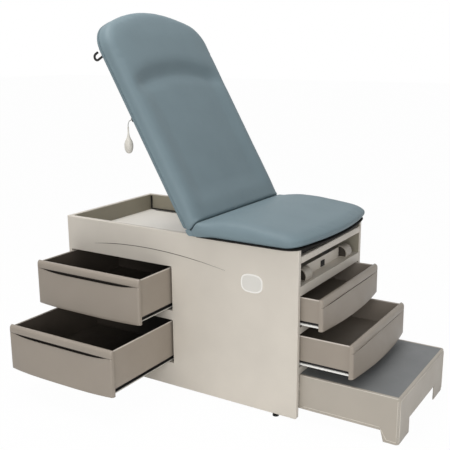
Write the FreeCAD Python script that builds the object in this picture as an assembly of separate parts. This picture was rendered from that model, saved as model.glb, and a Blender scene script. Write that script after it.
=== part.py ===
"""Examination table with storage, as separate solids in the pose of the photograph.

Lengths are millimetres and angles are degrees. In the working frame x = 0 is the foot face of the
cabinet, y = 0 its middle plane and z = 0 the floor. The head end is at negative x, the near side at
negative y. Every solid is moved by ORIGIN_SHIFT when it is written.
"""
import math
import os

import FreeCAD
import Part

V = FreeCAD.Vector

# Cabinet
CABINET_LENGTH = 1248.0
CABINET_WIDTH = 650.0
GLIDE_HEIGHT = 10.0
GLIDE_RADIUS = 14.0
GLIDE_PAD = 6.0
GLIDE_STEM_RADIUS = 7.0
GLIDE_INSET = 102.0
BASE_LEG_GAP = 30.0
BASE_RIM = 22.0
PANEL_DEPTH = 20.0
PANEL_SKIN = 2.0
PANEL_FLANGE = 3.0
PANEL_EDGE_RADIUS = 4.0
PANEL_CORNER_RADIUS = 9.0
HEAD_DEPTH = 18.0
LINER = 1.2
SHEET = 2.0
FIT = 0.3
BULKHEAD_FLANGE = 25.0

# Storage well under the backrest
WELL_DEPTH = 83.0
WELL_SLOT_WIDTH = 20.0
WELL_SLOT_LENGTH = 470.0
WELL_SLOT_START = 40.0
WELL_FOOT_GAP = 10.0
WELL_SPRING_START = 30.0

# Drawers, shared
FRONT_THICKNESS = 18.0
FRONT_LIP = 33.0
FRONT_SCOOP = 8.0
FRONT_BOW = 23.0
FRONT_SIDE_GAP = 2.0
OPENING_GAP = 3.0
BOX_WALL = 1.2
BOX_RIM = 3.0
BOX_RIM_HEIGHT = 5.0
BOX_INSET = 8.0
BOX_LIFT = 30.0
BOX_TOP_DROP = 4.0
RUNNER_WIDTH = 10.0
RUNNER_HEIGHT = 8.0
RUNNER_DROP = 20.0
RUNNER_WEB = 3.0
RAIL_SHEET = 2.0
RAIL_LIP_GAP = 0.4
RAIL_START = 6.0
RAIL_SHORTER = 40.0

# Side drawers, pulled out towards the near side
SIDE_BLANK_PANEL = 634.0
SIDE_BOX_DEPTH = 540.0
SIDE_FRONT_HEAD_GAP = 21.0
SIDE_DRAWER_SPACE = 51.0
UPPER_SIDE_HEIGHT = 202.0
UPPER_SIDE_OUT = 232.0
LOWER_SIDE_BOTTOM = 126.0
LOWER_SIDE_HEIGHT = 204.0
LOWER_SIDE_OUT = 421.0

# Front drawers, pulled out towards the foot end
FRONT_BOX_DEPTH = 430.0
FRONT_DRAWER_SPACE = 32.0
UPPER_FRONT_HEIGHT = 135.0
UPPER_FRONT_OUT = 100.0
STEP_TO_DRAWER = 35.0
LOWER_FRONT_HEIGHT = 144.0
LOWER_FRONT_OUT = 237.0

# Pull-out step
STEP_TOP = 203.0
STEP_SIDE_GAP = 9.8
STEP_DEPTH = 480.0
STEP_OUT = 435.0
STEP_WALL = 4.0
STEP_SKIRT_BOTTOM = 52.0
STEP_APRON_BOTTOM = 70.0
STEP_LEG_CLEAR = 3.0
STEP_LEG_SIDE = 76.0
STEP_LEG_TAPER = 13.0
STEP_LEG_FRONT = 128.0
STEP_CORNER_RADIUS = 14.0
STEP_EDGE_RADIUS = 5.0
STEP_HEM = 2.0
STEP_HEM_HEIGHT = 10.0
TREAD_SIDE_RIM = 12.0
TREAD_FRONT_RIM = 11.0
TREAD_THICKNESS = 5.0
STEP_RAIL_BOTTOM = 142.0
STEP_RAIL_HEIGHT = 12.0
STEP_RAIL_WIDTH = 4.2
STEP_RAIL_EXTRA = 10.0
STEP_SHOE_LENGTH = 40.0
STEP_SHOE_HEIGHT = 9.0

# Stirrup bay, leg rest and switch
BAY_HEIGHT = 96.5
BAY_RAIL_HEIGHT = 40.0
BAY_BEAM_GAP = 2.0
BAY_RAIL_DEPTH = 22.0
BAY_PANEL_RECESS = 47.0
BAY_PANEL_THICKNESS = 4.0
BAY_PANEL_GAP = 4.0
BAY_PANEL_HEIGHT = 49.0
SWITCH_WIDTH = 36.0
SWITCH_HEIGHT = 27.0
SWITCH_FRAME = 4.0
SWITCH_RISE = 17.5
SWITCH_DEPTH = 22.0
SWITCH_RIM = 3.0
SWITCH_WALL = 2.0
SWITCH_PIVOT_RADIUS = 2.0
SWITCH_PIVOT_DEPTH = 4.0
ROCKER_SIDE_GAP = 0.5
ROCKER_END_GAP = 2.0
ROCKER_DEPTH = 6.0
ROCKER_TAPER = 2.0
ROCKER_EDGE_RISE = 3.5
ROCKER_MIDDLE_RISE = 1.5
LEG_REST_HEIGHT = 29.5
LEG_REST_FRONT = 20.0
LEG_REST_BEAM_GAP = 32.0
LEG_PAN_RISE = 10.5
LEG_PAN_DROP = 2.5
LEG_PAN_EDGE_GAP = 4.8
LEG_CHANNEL_LIP = 20.0

# Stirrups
STIRRUP_SIDE_GAP = 66.8
STIRRUP_RISE = 19.0
STIRRUP_PIN_X = -44.5
STIRRUP_PIN_RADIUS = 4.0
CUP_RADIUS = 36.5
CUP_WALL = 4.0
CUP_WIDTH = 60.0
CUP_FOOT = 17.0
CUP_BACK = 4.0
CHEEK_THICKNESS = 4.0
ARM_SIZE = 20.0
ARM_REAR_INSET = 5.0
SLEEVE_WALL = 3.0
SLEEVE_FRONT_X = -110.0
SLEEVE_BEAM_GAP = 22.0
SLEEVE_FOOT = 30.0
CHEEK_INSET = 3.0
PIN_HEAD = 2.5
PIN_HEAD_RADIUS = 6.8

# Seat and backrest
PAD_WIDTH = 752.0
PAD_EDGE_RADIUS = 28.0
PAD_FOOT_RADIUS = 8.0
SEAT_PAD_THICKNESS = 68.0
SEAT_PAD_GAP = 4.0
SEAT_BOARD_SINK = 28.0
SEAT_CORNER_X = 8.0
SEAT_NOSE_X = 58.0
SEAT_CORNER_RADIUS = 70.0
SEAT_CROWN = 5.0
SEAT_BOARD_FRONT = 14.0
HINGE_X = -492.0
HINGE_RISE = 26.0
SEAT_HINGE_GAP = 13.0
BACK_HINGE_GAP = 17.0
BACK_ANGLE = 60.0
BACK_LENGTH = 1045.0
BACK_HEAD_RISE = 185.0
BACK_CORNER_RADIUS = 135.0
BACK_FRONT_N = 46.0
BACK_BOARD_N = -27.0
BACK_BOARD = 8.0
BOARD_INSET = 14.0
BACK_DISH_DEPTH = 7.0
BACK_DISH_HALF = 280.0
BACK_DISH_START = 90.0
BACK_DISH_HEAD_GAP = 245.0
BACK_ARM_SIDE_GAP = 53.8
BACK_ARM_WIDTH = 11.0
BACK_ARM_DEPTH = 28.0
BACK_ARM_END = 640.0
HINGE_EAR_RADIUS = 11.0
HINGE_PIN_RADIUS = 6.0
HINGE_CHEEK = 6.0
HINGE_PLATE = 6.0
HINGE_PLATE_RIM = 6.0
HINGE_PIN_PROUD = 2.0
CROSSBAR = 20.0
TOP_CROSSBAR_U = 600.0
RUNNING = 0.05
BEAM = 40.0
BEAM_WALL = 3.0
HINGE_BEAM_DROP = 98.0

# Gas spring: both pivots are equally far from the hinge
SPRING_ARM = 280.0
SPRING_DROP = 75.0
SPRING_PIN_RADIUS = 5.0
SPRING_EYE_RADIUS = 10.0
SPRING_EYE_WIDTH = 15.4
SPRING_NECK_RADIUS = 7.0
SPRING_CHEEK = 5.0
SPRING_TUBE_RADIUS = 13.0
SPRING_BORE_RADIUS = 10.5
SPRING_TUBE_SHORTER = 18.0
SPRING_ROD_RADIUS = 5.0
SPRING_ROD_LONGER = 12.0
SPRING_SLOT = 48.0
SPRING_FORK_PLATE = 4.0
SPRING_END_CAP = 10.0
SPRING_GUIDE = 12.0
SPRING_SLIDE_GAP = 1.0

# Paper hooks and release pull
HOOK_HEAD_GAP = 192.0
HOOK_INSET = 29.0
HOOK_ROD_RADIUS = 3.5
HOOK_DROP = 61.0
HOOK_WIDTH = 28.0
HOOK_TIP_DROP = 33.0
HOOK_PLATE = 3.0
HOOK_PLATE_LENGTH = 40.0
HOOK_PLATE_WIDTH = 18.0
PULL_U = 541.0
GLAND_DEPTH = 12.0
GLAND_LENGTH = 5.0
GLAND_WIDTH = 16.0
CABLE_RADIUS = 2.0
CABLE_RUN = 18.0
CABLE_DIAGONAL = 13.0
CABLE_TAIL = 15.0
HANDLE_RADIUS = 19.2
HANDLE_LENGTH = 114.0
HANDLE_NECK_RADIUS = 3.2
HANDLE_NECK = 20.0
HANDLE_BULB = 56.0
HANDLE_FOOT_RADIUS = 16.0

# Blank plaque on the near panel
PLAQUE_X = -217.0
PLAQUE_DROP = 172.0
PLAQUE_WIDTH = 105.0
PLAQUE_HEIGHT = 82.0
PLAQUE_THICKNESS = 3.0
PLAQUE_CORNER_RADIUS = 37.72
PLAQUE_EDGE_RADIUS = 1.8

# Derived places
half_width = CABINET_WIDTH / 2
panel_inner = half_width - PANEL_DEPTH
clear_half = panel_inner - LINER
head_inner = -CABINET_LENGTH + HEAD_DEPTH
head_clear = head_inner + LINER
base_top = GLIDE_HEIGHT + SHEET
base_rim_top = GLIDE_HEIGHT + BASE_RIM
side_front_width = CABINET_LENGTH - SIDE_FRONT_HEAD_GAP - SIDE_BLANK_PANEL
side_centre_x = -CABINET_LENGTH + SIDE_FRONT_HEAD_GAP + side_front_width / 2
side_wall_half = side_centre_x - head_clear
bulkhead_x = side_centre_x + side_wall_half
foot_front_width = 2 * (clear_half - FRONT_SIDE_GAP)
step_width = 2 * (clear_half - STEP_SIDE_GAP)
pad_half = PAD_WIDTH / 2
seat_head_x = HINGE_X + SEAT_HINGE_GAP
hinge_beam_front = HINGE_X + BEAM / 2
bay_depth = -hinge_beam_front - BAY_BEAM_GAP
leg_rest_length = -hinge_beam_front - LEG_REST_BEAM_GAP
sleeve_rear_x = hinge_beam_front + SLEEVE_BEAM_GAP
arm_rear_x = sleeve_rear_x + ARM_REAR_INSET
stirrup_y = clear_half - STIRRUP_SIDE_GAP - CUP_WIDTH / 2
bay_panel_half = stirrup_y - CUP_WIDTH / 2 - BAY_PANEL_GAP
back_arm_y = clear_half - BACK_ARM_SIDE_GAP
hook_y = pad_half - HOOK_INSET
hook_u = BACK_LENGTH - HOOK_HEAD_GAP
back_shoulder = BACK_LENGTH - BACK_HEAD_RISE
back_dish_end = BACK_LENGTH - BACK_DISH_HEAD_GAP

# Derived heights, from the floor up
upper_side_bottom = LOWER_SIDE_BOTTOM + LOWER_SIDE_HEIGHT + SIDE_DRAWER_SPACE
lower_front_bottom = STEP_TOP + STEP_TO_DRAWER
lower_front_top = lower_front_bottom + LOWER_FRONT_HEIGHT
upper_front_bottom = lower_front_top + FRONT_DRAWER_SPACE
bay_rail_bottom = upper_front_bottom + UPPER_FRONT_HEIGHT + FRONT_SIDE_GAP
bay_floor_top = bay_rail_bottom + BAY_RAIL_HEIGHT
bay_panel_top = bay_floor_top + BAY_PANEL_HEIGHT
switch_z = bay_floor_top + SWITCH_RISE
stirrup_z = bay_floor_top + STIRRUP_RISE
leg_rest_bottom = bay_floor_top + BAY_HEIGHT
leg_rest_top = leg_rest_bottom + LEG_REST_HEIGHT
leg_pan_bottom = leg_rest_bottom + LEG_PAN_RISE
leg_pan_top = leg_rest_top - LEG_PAN_DROP
leg_channel_base = leg_pan_bottom - FIT - PANEL_FLANGE
seat_board_bottom = leg_rest_top + PANEL_FLANGE
cabinet_top = seat_board_bottom + SEAT_BOARD_SINK
well_floor_top = cabinet_top - WELL_DEPTH
plaque_z = cabinet_top - PLAQUE_DROP
seat_pad_bottom = cabinet_top + SEAT_PAD_GAP
seat_pad_top = seat_pad_bottom + SEAT_PAD_THICKNESS
hinge_z = seat_pad_bottom + HINGE_RISE
hinge_beam_top = hinge_z - HINGE_BEAM_DROP

# Derived places of the backrest, the gas spring and the release pull
back_pad_n = BACK_BOARD_N + BACK_BOARD
spring_u = math.sqrt(SPRING_ARM ** 2 - SPRING_DROP ** 2)
spring_base_x = HINGE_X
spring_base_z = hinge_z - SPRING_ARM
spring_tube_end = SPRING_ARM - SPRING_TUBE_SHORTER
spring_rod_length = SPRING_ARM + SPRING_ROD_LONGER
spring_beam_top = spring_base_z - 2 * SPRING_EYE_RADIUS
pull_n = BACK_BOARD_N - GLAND_DEPTH / 2
pull_exit_y = -(pad_half - BOARD_INSET)

# The origin is the middle of the whole outline on the floor
ORIGIN_SHIFT = V(
    (CABINET_LENGTH - STEP_OUT) / 2,
    (half_width + LOWER_SIDE_OUT + FRONT_BOW - pad_half) / 2,
    0,
)


# Shape helpers
def box(x0, x1, y0, y1, z0, z1):
    return Part.makeBox(x1 - x0, y1 - y0, z1 - z0, V(x0, y0, z0))


def bar_y(x, z, radius, y0, y1):
    return Part.makeCylinder(radius, y1 - y0, V(x, y0, z), V(0, 1, 0))


def bar_z(x, y, radius, z0, z1):
    return Part.makeCylinder(radius, z1 - z0, V(x, y, z0))


def prism_y(points, y0, y1):
    corners = [V(x, y0, z) for x, z in points]
    return Part.Face(Part.makePolygon(corners + corners[:1])).extrude(V(0, y1 - y0, 0))


def join(*shapes):
    return shapes[0].fuse(list(shapes[1:])).removeSplitter()


def mirrored(shape):
    return shape.mirror(V(0, 0, 0), V(0, 1, 0))


def pair(shape):
    return [shape, mirrored(shape)]


def moved(shape, x, y, z):
    copy = shape.copy()
    copy.translate(V(x, y, z))
    return copy


def save(name, shapes):
    shapes = shapes if isinstance(shapes, list) else [shapes]
    solids = [solid for shape in shapes for solid in shape.Solids]
    Part.makeCompound([moved(s, *ORIGIN_SHIFT) for s in solids]).exportStep(f"parts/{name}.step")


def edges_where(shape, test):
    return [e for e in shape.Edges if test(e)]


def rounded_tube(points, bend_radii, radius):
    """A round bar along straight runs joined by tangent arcs, one arc at each inner point."""
    runs = []
    start = points[0]
    for corner, after, bend in zip(points[1:-1], points[2:], bend_radii):
        into = (corner - start).normalize()
        out = (after - corner).normalize()
        half_turn = into.getAngle(out) / 2
        setback = bend * math.tan(half_turn)
        first = corner - into * setback
        last = corner + out * setback
        middle = corner + (out - into).normalize() * (bend / math.cos(half_turn) - bend)
        runs.append(Part.LineSegment(start, first).toShape())
        runs.append(Part.Arc(first, middle, last).toShape())
        start = last
    runs.append(Part.LineSegment(start, points[-1]).toShape())
    ring = Part.Wire(Part.makeCircle(radius, points[0], points[1] - points[0]))
    return Part.Wire(runs).makePipeShell([ring], True, True)


# Cabinet shell
def side_opening(bottom, height, grow):
    reach = side_front_width / 2 + OPENING_GAP + grow
    gap = OPENING_GAP + grow
    return box(side_centre_x - reach, side_centre_x + reach, -half_width - 1, 0,
               bottom - gap, bottom + height + gap)


def side_openings(grow):
    upper = side_opening(upper_side_bottom, UPPER_SIDE_HEIGHT, grow)
    lower = side_opening(LOWER_SIDE_BOTTOM, LOWER_SIDE_HEIGHT, grow)
    return [upper, lower]


def side_panel(openings, grown_openings):
    """A folded sheet pan: skin outside, flanges around the outline and around each opening."""
    slab = box(-CABINET_LENGTH, 0, -half_width, -panel_inner, GLIDE_HEIGHT, cabinet_top)
    across = edges_where(slab, lambda e: abs(e.Length - PANEL_DEPTH) < 0.01)
    low = [e for e in across if e.CenterOfMass.z < cabinet_top / 2]
    slab = slab.makeFillet(PANEL_CORNER_RADIUS, low)
    outer = edges_where(slab, lambda e: e.BoundBox.YMax < -half_width + 0.01)
    slab = slab.makeFillet(PANEL_EDGE_RADIUS, outer)
    hollow = box(-CABINET_LENGTH + PANEL_FLANGE, -PANEL_FLANGE, -half_width + PANEL_SKIN, 0,
                 GLIDE_HEIGHT + PANEL_FLANGE, cabinet_top - PANEL_FLANGE)
    for opening, grown in zip(openings, grown_openings):
        slab = slab.cut(opening)
        hollow = hollow.cut(grown)
    return slab.cut(hollow)


def side_liner(openings):
    liner = box(head_inner, -PANEL_FLANGE, -panel_inner, -clear_half,
                base_top, cabinet_top - PANEL_FLANGE)
    return liner.cut(openings) if openings else liner


def head_panel():
    slab = box(-CABINET_LENGTH, head_inner, -panel_inner, panel_inner, GLIDE_HEIGHT, cabinet_top)
    hollow = box(-CABINET_LENGTH + PANEL_SKIN, head_inner + 1, -panel_inner + PANEL_FLANGE,
                 panel_inner - PANEL_FLANGE, GLIDE_HEIGHT + PANEL_FLANGE, cabinet_top - PANEL_FLANGE)
    return slab.cut(hollow)


def head_liner():
    return box(head_inner, head_clear, -clear_half, clear_half, base_top, cabinet_top - PANEL_FLANGE)


def base_pan():
    front = -STEP_LEG_SIDE - BASE_LEG_GAP
    side = clear_half - SHEET
    outer = box(head_clear, front, -clear_half, clear_half, GLIDE_HEIGHT, base_rim_top)
    inner = box(head_clear + SHEET, front - SHEET, -side, side, base_top, base_rim_top + 1)
    return outer.cut(inner)


def centre_bulkhead():
    foot = bulkhead_x + BULKHEAD_FLANGE
    outer = box(bulkhead_x, foot, -clear_half, clear_half, base_top, well_floor_top - SHEET)
    inner = box(bulkhead_x + SHEET, foot + 1, -clear_half + SHEET, clear_half - SHEET, 0, cabinet_top)
    slot = box(bulkhead_x - 1, foot + 1, -SPRING_SLOT / 2, SPRING_SLOT / 2,
               upper_side_bottom + UPPER_SIDE_HEIGHT - BOX_TOP_DROP, cabinet_top)
    rim_notch = box(bulkhead_x - 1, foot + 1, clear_half - SHEET, clear_half + 1, 0, base_rim_top)
    return outer.cut([inner, slot] + pair(rim_notch))


def well_tray():
    foot = HINGE_X - BEAM / 2 - WELL_FOOT_GAP
    top = cabinet_top - PANEL_FLANGE
    floor = well_floor_top
    outer = box(head_clear, foot, -clear_half, clear_half, floor - SHEET, top)
    inner = box(head_clear + SHEET, foot + 1, -clear_half + SHEET, clear_half - SHEET, floor, top + 1)
    spring_start = HINGE_X - spring_u + WELL_SPRING_START
    spring_slot = box(spring_start, foot + 1, -SPRING_SLOT / 2, SPRING_SLOT / 2, 0, top)
    slot_start = head_clear + WELL_SLOT_START
    far_slot = box(slot_start, slot_start + WELL_SLOT_LENGTH,
                   clear_half - SHEET - WELL_SLOT_WIDTH, clear_half - SHEET, 0, floor + 1)
    return outer.cut([inner, spring_slot, far_slot])


def cross_tube(x0, x1, z0, z1, wall):
    outer = box(x0, x1, -clear_half, clear_half, z0, z1)
    return outer.cut(box(x0 + wall, x1 - wall, -clear_half - 1, clear_half + 1, z0 + wall, z1 - wall))


def cross_beam(top):
    return cross_tube(HINGE_X - BEAM / 2, HINGE_X + BEAM / 2, top - BEAM, top, BEAM_WALL)


def front_rail(bottom, top):
    return cross_tube(-BAY_RAIL_DEPTH, -PANEL_FLANGE, bottom + FRONT_SIDE_GAP, top - FRONT_SIDE_GAP, SHEET)


def bay_tray():
    floor = box(-bay_depth, -PANEL_FLANGE, -clear_half, clear_half, bay_floor_top - SHEET, bay_floor_top)
    rail = cross_tube(-BAY_RAIL_DEPTH, 0, bay_rail_bottom, bay_floor_top, SHEET)
    return join(floor, rail)


def bay_panel():
    panel = box(-BAY_PANEL_RECESS - BAY_PANEL_THICKNESS, -BAY_PANEL_RECESS,
                -bay_panel_half, bay_panel_half, bay_floor_top, bay_panel_top)
    half_w = SWITCH_WIDTH / 2 - SWITCH_FRAME
    half_h = SWITCH_HEIGHT / 2 - SWITCH_FRAME
    hole = box(-bay_depth, 0, -half_w, half_w, switch_z - half_h, switch_z + half_h)
    return panel.cut(hole)


def switch_frame():
    """Rim in front of the bay panel, with a body through the panel that carries the rocker."""
    front = -BAY_PANEL_RECESS
    half_w = SWITCH_WIDTH / 2
    half_h = SWITCH_HEIGHT / 2
    z = switch_z
    inner_w = half_w - SWITCH_FRAME
    inner_h = half_h - SWITCH_FRAME
    wall = SWITCH_WALL
    rim = box(front, front + SWITCH_RIM, -half_w, half_w, z - half_h, z + half_h)
    body = box(front - SWITCH_DEPTH, front, -inner_w, inner_w, z - inner_h, z + inner_h)
    hollow = box(front - SWITCH_DEPTH + wall, front + SWITCH_RIM + 1, -inner_w + wall, inner_w - wall,
                 z - inner_h + wall, z + inner_h - wall)
    pivots = bar_y(front - SWITCH_PIVOT_DEPTH, z, SWITCH_PIVOT_RADIUS + RUNNING, -inner_w, inner_w)
    return join(rim, body).cut([hollow, pivots])


def switch_rocker():
    front = -BAY_PANEL_RECESS
    z = switch_z
    half_w = SWITCH_WIDTH / 2 - SWITCH_FRAME - SWITCH_WALL - ROCKER_SIDE_GAP
    half_h = SWITCH_HEIGHT / 2 - SWITCH_FRAME - SWITCH_WALL - ROCKER_END_GAP
    back = front - ROCKER_DEPTH
    edge = front + ROCKER_EDGE_RISE
    low = half_h - ROCKER_TAPER
    outline = [(back, z - low), (edge, z - half_h), (front + ROCKER_MIDDLE_RISE, z),
               (edge, z + half_h), (back, z + low)]
    pivot_end = half_w + SWITCH_WALL
    pivot = bar_y(front - SWITCH_PIVOT_DEPTH, z, SWITCH_PIVOT_RADIUS, -pivot_end, pivot_end)
    return join(prism_y(outline, -half_w, half_w), pivot)


def foot_glides():
    y = half_width - PANEL_DEPTH / 2
    glides = []
    for x in (-GLIDE_INSET, -CABINET_LENGTH + GLIDE_INSET):
        pad = bar_z(x, y, GLIDE_RADIUS, 0, GLIDE_PAD)
        stem = bar_z(x, y, GLIDE_STEM_RADIUS, GLIDE_PAD, GLIDE_HEIGHT)
        glides += pair(join(pad, stem))
    return glides


def plaque():
    """A blank rounded plate that stands on the near panel."""
    back = -half_width
    plate = box(PLAQUE_X - PLAQUE_WIDTH / 2, PLAQUE_X + PLAQUE_WIDTH / 2, back - PLAQUE_THICKNESS, back,
                plaque_z - PLAQUE_HEIGHT / 2, plaque_z + PLAQUE_HEIGHT / 2)
    corners = edges_where(plate, lambda e: abs(e.Length - PLAQUE_THICKNESS) < 0.01)
    plate = plate.makeFillet(PLAQUE_CORNER_RADIUS, corners)
    rim = edges_where(plate, lambda e: e.BoundBox.YMax < back - PLAQUE_THICKNESS + 0.01)
    return plate.makeFillet(PLAQUE_EDGE_RADIUS, rim)


# Drawers, in their own frame: x outwards, y across, z up from the bottom of the front
def face_wire(width, sag, z):
    half = width / 2
    corners = [V(0, -half, z), V(-FRONT_THICKNESS, -half, z), V(-FRONT_THICKNESS, half, z), V(0, half, z)]
    sides = [Part.LineSegment(a, b).toShape() for a, b in zip(corners, corners[1:])]
    return Part.Wire(sides + [Part.Arc(corners[3], V(sag, 0, z), corners[0]).toShape()])


def drawer_front(width, height):
    """A straight lip over a face that is scooped under the lip and bowed at its foot."""
    lip_bottom = height - FRONT_LIP
    lip = box(-FRONT_THICKNESS, 0, -width / 2, width / 2, lip_bottom, height)
    top = edges_where(lip, lambda e: e.BoundBox.ZMin > height - 0.01 and e.BoundBox.XMin > -0.01)
    lip = lip.makeFillet(PANEL_EDGE_RADIUS, top)
    wires = [face_wire(width, FRONT_BOW, 0), face_wire(width, -FRONT_SCOOP, lip_bottom)]
    return join(lip, Part.makeLoft(wires, True, True))


def drawer_box(width, height, depth):
    half = width / 2 - BOX_INSET
    rear = -FRONT_THICKNESS - depth
    front = -FRONT_THICKNESS
    top = height - BOX_TOP_DROP
    rim_start = top - BOX_RIM_HEIGHT
    outer = box(rear, front, -half, half, BOX_LIFT, top)
    inside = box(rear + BOX_WALL, front - BOX_WALL, -half + BOX_WALL, half - BOX_WALL,
                 BOX_LIFT + BOX_WALL, rim_start)
    mouth = box(rear + BOX_RIM, front - BOX_RIM, -half + BOX_RIM, half - BOX_RIM, rim_start - 1, top + 1)
    return outer.cut([inside, mouth])


def drawer_runners(width, depth):
    side = width / 2 - BOX_INSET
    rear = -FRONT_THICKNESS - depth
    low = BOX_LIFT - RUNNER_DROP
    rail = box(rear, -FRONT_THICKNESS, side - RUNNER_WIDTH, side, low, low + RUNNER_HEIGHT)
    web = box(rear, -FRONT_THICKNESS, side - RUNNER_WIDTH, side - RUNNER_WIDTH + RUNNER_WEB, low, BOX_LIFT)
    return pair(join(rail, web))


def drawer_rails(width, depth, wall_half):
    """Channels on the cabinet that hold the runner bars from below and above."""
    side = width / 2 - BOX_INSET
    start = -FRONT_THICKNESS - RAIL_START
    rear = start - depth + RAIL_SHORTER
    bar_low = BOX_LIFT - RUNNER_DROP
    bed = bar_low - FIT
    lip = bar_low + RUNNER_HEIGHT + RAIL_LIP_GAP
    low = box(rear, start, side - RUNNER_WIDTH - RAIL_SHEET, wall_half, bed - RAIL_SHEET, bed)
    web = box(rear, start, wall_half - RUNNER_WEB, wall_half, bed - RAIL_SHEET, lip + RAIL_SHEET)
    high = box(rear, start, side - RUNNER_WIDTH / 2, wall_half, lip, lip + RAIL_SHEET)
    return pair(join(low, web, high))


def on_near_side(shape, out, bottom):
    turned = shape.copy()
    turned.rotate(V(0, 0, 0), V(0, 0, 1), -90)
    return moved(turned, side_centre_x, -half_width - out, bottom)


def on_foot_end(shape, out, bottom):
    return moved(shape, out, 0, bottom)


def save_drawer(name, place, width, height, depth, wall_half, out, bottom):
    save(f"{name}_front", place(drawer_front(width, height), out, bottom))
    save(f"{name}_box", place(drawer_box(width, height, depth), out, bottom))
    save(f"{name}_runners", [place(r, out, bottom) for r in drawer_runners(width, depth)])
    return [place(r, 0, bottom) for r in drawer_rails(width, depth, wall_half)]


# Step
def step_shell():
    """A folded shell with a tread pocket, a skirt and two legs at its front corners."""
    half = step_width / 2
    rear = STEP_OUT - STEP_DEPTH
    leg_top_x = STEP_OUT - STEP_LEG_SIDE
    outer = box(rear, STEP_OUT, -half, half, STEP_LEG_CLEAR, STEP_TOP)
    upright = edges_where(outer, lambda e: e.BoundBox.XMin > STEP_OUT - 1 and e.BoundBox.ZLength > 1)
    outer = outer.makeFillet(STEP_CORNER_RADIUS, upright)
    rim = edges_where(outer, lambda e: e.BoundBox.ZMin > STEP_TOP - 0.01 and e.BoundBox.XMax > rear + 1)
    outer = outer.makeFillet(STEP_EDGE_RADIUS, rim)
    plate = STEP_TOP - TREAD_THICKNESS - STEP_WALL
    inner = box(rear - 1, STEP_OUT - STEP_WALL, -half + STEP_WALL, half - STEP_WALL, 0, plate)
    skirt = [(rear - 1, 0), (leg_top_x + STEP_LEG_TAPER, 0), (leg_top_x + STEP_LEG_TAPER, STEP_LEG_CLEAR),
             (leg_top_x, STEP_SKIRT_BOTTOM), (rear - 1, STEP_SKIRT_BOTTOM)]
    under_skirt = prism_y(skirt, -half - 1, half + 1)
    gap = half - STEP_LEG_FRONT
    under_apron = box(leg_top_x, STEP_OUT + 1, -gap, gap, 0, STEP_APRON_BOTTOM)
    pocket = tread_block(0)
    hem = box(rear, leg_top_x, half, half + STEP_HEM, STEP_SKIRT_BOTTOM, STEP_SKIRT_BOTTOM + STEP_HEM_HEIGHT)
    return join(outer.cut([inner, under_skirt, under_apron, pocket]), *pair(hem))


def tread_block(gap):
    rear = STEP_OUT - STEP_DEPTH
    half = step_width / 2 - TREAD_SIDE_RIM - gap
    return box(rear, STEP_OUT - TREAD_FRONT_RIM - gap, -half, half, STEP_TOP - TREAD_THICKNESS, STEP_TOP)


def step_rails():
    rail = box(-STEP_DEPTH - STEP_RAIL_EXTRA, -RAIL_START, clear_half - STEP_RAIL_WIDTH, clear_half,
               STEP_RAIL_BOTTOM, STEP_RAIL_BOTTOM + STEP_RAIL_HEIGHT)
    return pair(rail)


def step_shoes():
    """Sliding shoes above and below each rail at the rear of the step."""
    rear = STEP_OUT - STEP_DEPTH
    outer = clear_half - FIT
    top = STEP_RAIL_BOTTOM + STEP_RAIL_HEIGHT + FIT
    low = STEP_RAIL_BOTTOM - FIT
    upper = box(rear, rear + STEP_SHOE_LENGTH, step_width / 2, outer, top, top + STEP_SHOE_HEIGHT)
    lower = box(rear, rear + STEP_SHOE_LENGTH, step_width / 2, outer, low - STEP_SHOE_HEIGHT, low)
    return pair(upper) + pair(lower)


# Leg rest
def leg_pan():
    half = clear_half - LEG_PAN_EDGE_GAP
    outer = box(-leg_rest_length, -LEG_REST_FRONT, -half, half, leg_pan_bottom, leg_pan_top)
    return outer.cut(box(-leg_rest_length + SHEET, -LEG_REST_FRONT - SHEET, -half + SHEET, half - SHEET,
                         0, leg_pan_top - SHEET))


def leg_front():
    half = clear_half - FRONT_SIDE_GAP
    bar = box(-LEG_REST_FRONT, 0, -half, half, leg_rest_bottom, leg_rest_top)
    rims = edges_where(bar, lambda e: e.BoundBox.XMin > -0.01 and e.BoundBox.YLength > 1)
    return bar.makeFillet(PANEL_EDGE_RADIUS, rims)


def leg_channels():
    lip = clear_half - LEG_CHANNEL_LIP
    web = clear_half - LEG_PAN_EDGE_GAP + FIT
    outer = box(-leg_rest_length, -LEG_REST_FRONT - FRONT_SIDE_GAP, lip, clear_half,
                leg_channel_base, seat_board_bottom)
    groove = box(-leg_rest_length - 1, 0, lip - 1, web, leg_pan_bottom - FIT, leg_pan_top + FIT)
    return pair(outer.cut(groove))


# Stirrups, near one built at its place; the far one mirrors it
def arm_block(x0, x1, half):
    return box(x0, x1, -stirrup_y - half, -stirrup_y + half, stirrup_z - half, stirrup_z + half)


def on_pin(radius, y0, y1):
    return bar_y(STIRRUP_PIN_X, stirrup_z, radius, y0, y1)


def stirrup_sleeve():
    half = ARM_SIZE / 2 + FIT
    out = half + SLEEVE_WALL
    tube = arm_block(sleeve_rear_x, SLEEVE_FRONT_X, out)
    feet = [box(x, x + SLEEVE_FOOT, -stirrup_y - out, -stirrup_y + out, bay_floor_top, stirrup_z - out)
            for x in (sleeve_rear_x, SLEEVE_FRONT_X - SLEEVE_FOOT)]
    return join(tube, *feet).cut(arm_block(sleeve_rear_x - 1, SLEEVE_FRONT_X + 1, half))


def stirrup_arm():
    half = ARM_SIZE / 2
    y0 = -stirrup_y - half
    y1 = -stirrup_y + half
    bar = arm_block(arm_rear_x, STIRRUP_PIN_X, half)
    return join(bar, on_pin(half, y0, y1)).cut(on_pin(STIRRUP_PIN_RADIUS + RUNNING, y0 - 1, y1 + 1))


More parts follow.
